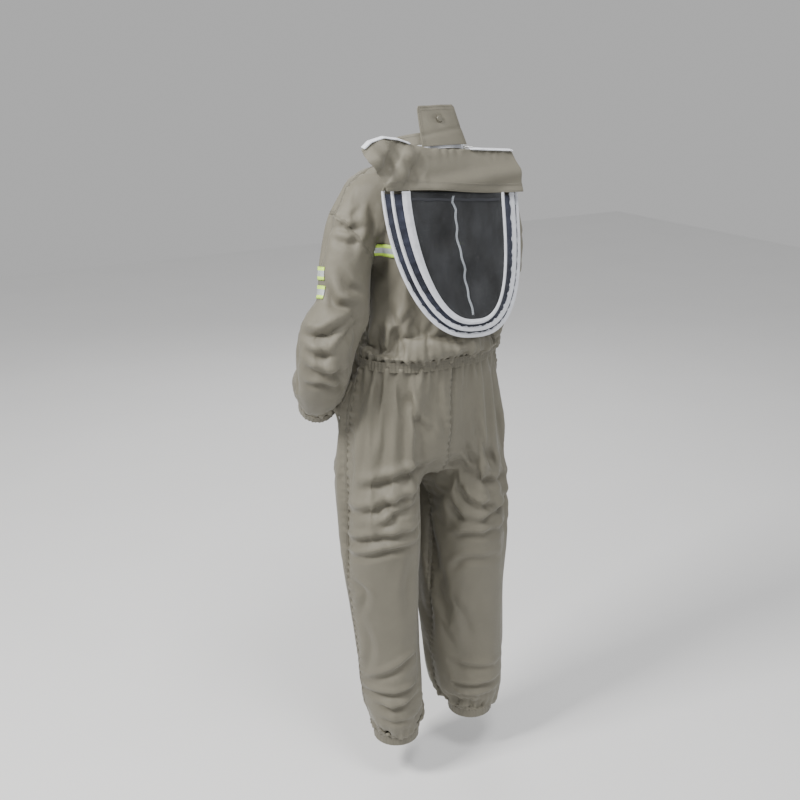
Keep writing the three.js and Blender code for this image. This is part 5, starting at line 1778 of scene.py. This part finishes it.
class SUIT_OT_hoops(bpy.types.Operator):
    """Three hoops, each a boning rod in a white binding, with mesh gussets between them"""
    bl_idname = "suit.hoops"
    bl_label = "Hoops and gussets"

    def execute(self, context):
        bodies = {"outer": "hood", "middle": "middle_hoop", "inner": "inner_hoop"}
        count = 300
        t = 0.5 - 0.5 * np.cos(np.linspace(0.02, math.pi - 0.02, count))
        for number, (name, (side, end, depth)) in enumerate(HOOPS.items()):
            x, z = hoop_line(t, side, end)
            path = in_hood(x, depth, z)
            width = binding_width(name, t)
            wrinkle = noise_rows(count, 5 + number, [(31, 0.00022), (53, 0.00020), (17, 0.00025), (90, 0.00012)])
            angle = (np.arange(30) + 0.5) * 2 * math.pi / 30
            across = np.sign(np.cos(angle)) * np.abs(np.cos(angle)) ** 0.6
            over = np.sin(angle)
            along = directions(path)
            aside = unit(np.cross(along, np.tile(HOOD_OUT, (count, 1))))
            rings, edge = [], []
            for p, a, w, bump in zip(path, aside, width, wrinkle):
                rod = np.exp(-(((across - 0.10) / 0.42) ** 2))
                tall = 0.0008 + (0.0013 + bump) * rod
                rings.append(p + (across * w / 2)[:, None] * a + (np.sign(over) * np.abs(over) ** 0.7 * tall)[:, None]
                             * HOOD_OUT)
                edge.append(p + a * (-0.36 * w) + HOOD_OUT * 0.0012)
            binding = paint(loft(f"{name}_hoop_binding_cloth", rings), FINISH["trim"])
            sewn = paint(stitches("hoop_thread", np.array(edge), np.tile(HOOD_OUT, (count, 1))), FINISH["trim_thread"])
            piece(joined(f"{name}_hoop_binding_cloth", [binding, sewn]), bodies[name],
                  (f"{name}_hoop_binding",))
            paint(frame["nodes"][f"{name}_hoop_rod"], FINISH["boning"])
            frame["nodes"][f"{name}_hoop_rod"].data.polygons.foreach_set(
                "use_smooth", [True] * len(frame["nodes"][f"{name}_hoop_rod"].data.polygons))
        self.gusset("outer", "middle", "hood", "middle_hoop", 3)
        self.gusset("middle", "inner", "middle_hoop", "inner_hoop", 4)
        return {"FINISHED"}

    def gusset(self, first, second, body, next_body, seed):
        rows, columns = 11, 260
        t = np.linspace(0.004, 0.996, columns)
        s = np.linspace(0, 1, rows)[:, None]
        a, b = HOOPS[first], HOOPS[second]
        crumple = noise_rows(columns, seed, [(23, 0.5), (37, 0.4), (61, 0.3)])
        side = a[0] + 0.001 + (b[0] - a[0]) * s
        end = a[1] + 0.001 + (b[1] - a[1]) * s
        lines = [hoop_line(t, i, j) for i, j in zip(side[:, 0], end[:, 0])]
        x = np.array([line[0] for line in lines])
        z = np.array([line[1] for line in lines])
        y = a[2] + (b[2] - a[2]) * s + 0.0013 * np.sin(math.pi * s) * crumple - 0.0012 * np.sin(math.pi * s)
        points = in_hood(x, y, z)
        name = "outer_gusset" if first == "outer" else "inner_gusset"
        cloth = mesh_object(f"{name}_mesh", points.reshape(-1, 3), grid_faces(rows, columns))
        thick = cloth.modifiers.new("Thickness", "SOLIDIFY")
        thick.thickness = 0.0005
        thick.offset = 0
        paint(apply_all(cloth), FINISH["gusset"])
        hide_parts(name)
        start = in_hood(np.array(0.0), np.array(a[2]), np.array(-0.2))
        stop = in_hood(np.array(0.0), np.array(b[2]), np.array(-0.2))
        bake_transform(cloth)


# ---------------------------------------------------------------- veil
def veil_depth(x, z):
    """How far the slack veil lies off the back at a place in the hood."""
    right, left = hoop_span(np.minimum(z, -BAND_DROP - 0.0005), 0.047, 0.032)
    inside = np.clip((x - right) / np.maximum(left - right, 0.001), 0, 1)
    down = np.clip((-z - BAND_DROP) / (VEIL_LENGTH - 0.032), 0, 1)
    slack = np.sin(math.pi * inside) ** 0.7 * np.sin(math.pi * np.clip(down * 0.96 + 0.04, 0, 1)) ** 0.6
    folds = (0.55 * np.sin(-34 * x - 46 * z + 0.9) + 0.45 * np.sin(58 * x - 30 * z + 2.1)
             + 0.35 * np.sin(20 * x - 85 * z + 0.3) + 0.22 * np.sin(110 * x + 40 * z))
    return HOOPS["inner"][2] - 0.0002 - slack * (0.0060 + 0.0045 * folds)


class SUIT_OT_veil(bpy.types.Operator):
    """The slack face mesh with its centre seam and its cross seam"""
    bl_idname = "suit.veil"
    bl_label = "Veil"

    def execute(self, context):
        rows, columns = 110, 80
        side, end = 0.0445, 0.0295
        low = -BAND_DROP - VEIL_LENGTH + end
        z = -BAND_DROP - 0.0009 + (low + BAND_DROP + 0.0014) * np.sin(np.linspace(0, math.pi / 2, rows))
        right, left = hoop_span(z, side, end)
        u = np.linspace(0, 1, columns)[None]
        x = right[:, None] + (left - right)[:, None] * u
        height = z[:, None] + 0 * x
        points = in_hood(x, veil_depth(x, height), height)
        cloth = mesh_object("veil_cloth", points.reshape(-1, 3), grid_faces(rows, columns, flip=True))
        thick = cloth.modifiers.new("Thickness", "SOLIDIFY")
        thick.thickness = 0.0005
        thick.offset = 0
        piece(apply_all(cloth), "inner_hoop", ("veil_panel",), FINISH["veil"])
        down = np.linspace(0.035, 0.955, 120)
        z = -BAND_DROP - down * (VEIL_LENGTH - end)
        right, left = hoop_span(z, side, end)
        place = np.interp(down, (0, 0.08, 0.14, 0.42, 0.6, 0.8, 1), (0.50, 0.54, 0.51, 0.52, 0.49, 0.50, 0.50))
        x = right + (left - right) * place + 0.0012 * np.sin(down * 40)
        path = in_hood(x, veil_depth(x, z) + 0.0009, z)
        tape = bar("veil_centre_seam", path, np.tile(HOOD_OUT, (120, 1)), rounded(0.0046, 0.0013, 0.4))
        paint(tape, FINISH["grey_tape"])
        rows_ = [paint(stitches("veil_thread", path + HOOD_ACROSS * o + HOOD_OUT * 0.0006,
                                np.tile(HOOD_OUT, (120, 1)), radius=0.0002), FINISH["trim_thread"])
                 for o in (-0.0013, 0.0013)]
        piece(joined("veil_centre_seam", [tape, *rows_]), "inner_hoop", ("veil_centre_tape",))
        t = np.linspace(0.03, 0.97, 90)
        z = np.full(90, -BAND_DROP - 0.015) + 0.0006 * np.sin(t * 30)
        right, left = hoop_span(z, side, end)
        x = right + (left - right) * t
        path = in_hood(x, veil_depth(x, z) + 0.0007, z)
        tape = bar("veil_cross_seam", path, np.tile(HOOD_OUT, (90, 1)), rounded(0.0055, 0.0011, 0.4))
        piece(tape, "inner_hoop", ("veil_cross_tape",), FINISH["dark_tape"])
        return {"FINISHED"}


# ---------------------------------------------------------------- stage
class SUIT_OT_stage(bpy.types.Operator):
    """Pale floor, soft lights and the camera"""
    bl_idname = "suit.stage"
    bl_label = "Stage"

    def execute(self, context):
        scene = context.scene
        floor = mesh_object("floor", [(-6, -6, GROUND), (6, -6, GROUND), (6, 6, GROUND), (-6, 6, GROUND)],
                            [(0, 1, 2, 3)], smooth=False)
        nodes = Nodes("pale_floor")
        tone = nodes.mix(nodes.noise(3.0, 3.0), (0.80, 0.80, 0.80, 1), (0.84, 0.84, 0.84, 1))
        paint(floor, nodes.set(colour=tone, rough=0.9))
        world = bpy.data.worlds.new("studio")
        scene.world = world
        world.use_nodes = True
        world.node_tree.nodes["Background"].inputs["Color"].default_value = (1.0, 1.0, 1.0, 1)
        world.node_tree.nodes["Background"].inputs["Strength"].default_value = 0.50
        lights = {
            "key": ((2.3, 0.2, 1.7), 135, 0.7, (1.0, 0.985, 0.96)),
            "fill": ((-1.8, 2.6, 0.6), 16, 1.8, (0.96, 0.98, 1.0)),
            "top": ((0.3, 1.6, 2.6), 62, 1.0, (1, 1, 1)),
            "front": ((-1.2, -2.6, 1.0), 26, 2.0, (1, 1, 1)),
        }
        for name, (place, power, size, colour) in lights.items():
            light = bpy.data.lights.new(name, "AREA")
            light.energy = power
            light.size = size
            light.color = colour
            lamp = bpy.data.objects.new(name, light)
            scene.collection.objects.link(lamp)
            lamp.location = place
            lamp.rotation_euler = (Vector((0, 0, -0.55)) - Vector(place)).to_track_quat("-Z", "Y").to_euler()
        camera = bpy.data.cameras.new("camera")
        camera.lens = 48.15
        camera.sensor_width = 36
        viewer = bpy.data.objects.new("camera", camera)
        scene.collection.objects.link(viewer)
        viewer.location = (1.144, 1.808, 0.232)
        pitch, heading = math.radians(-19), math.radians(149)
        way = Vector((-math.sin(heading) * math.cos(pitch), math.cos(heading) * math.cos(pitch), math.sin(pitch)))
        viewer.rotation_euler = way.to_track_quat("-Z", "Y").to_euler()
        scene.camera = viewer
        return {"FINISHED"}


STEPS = (SUIT_OT_stage, SUIT_OT_coverall, SUIT_OT_seams, SUIT_OT_gathers, SUIT_OT_pockets, SUIT_OT_reflective_tape,
         SUIT_OT_front_zip, SUIT_OT_collar, SUIT_OT_nape_flap, SUIT_OT_hood_cloth, SUIT_OT_hoops, SUIT_OT_veil)


class SUIT_PT_panel(bpy.types.Panel):
    """Sizes, colours and building steps of the suit"""
    bl_label = "Beekeeping suit"
    bl_idname = "SUIT_PT_panel"
    bl_space_type = "VIEW_3D"
    bl_region_type = "UI"
    bl_category = "Suit"

    def draw(self, context):
        layout = self.layout
        for group in (context.scene.suit_sizes, context.scene.suit_colours):
            for name in group.__annotations__:
                layout.prop(group, name)
        for step in STEPS:
            layout.operator(step.bl_idname)


CLASSES = (SuitSizes, SuitColours, *STEPS, SUIT_PT_panel)


def register():
    for cls in CLASSES:
        bpy.utils.register_class(cls)
    bpy.types.Scene.suit_sizes = PointerProperty(type=SuitSizes)
    bpy.types.Scene.suit_colours = PointerProperty(type=SuitColours)


def unregister():
    del bpy.types.Scene.suit_colours
    del bpy.types.Scene.suit_sizes
    for cls in reversed(CLASSES):
        bpy.utils.unregister_class(cls)


def main():
    register()
    scene = bpy.context.scene
    make_finishes(scene.suit_sizes, scene.suit_colours)
    for step in STEPS:
        group, name = step.bl_idname.split(".")
        getattr(getattr(bpy.ops, group), name)()


if __name__ == "__main__":
    main()
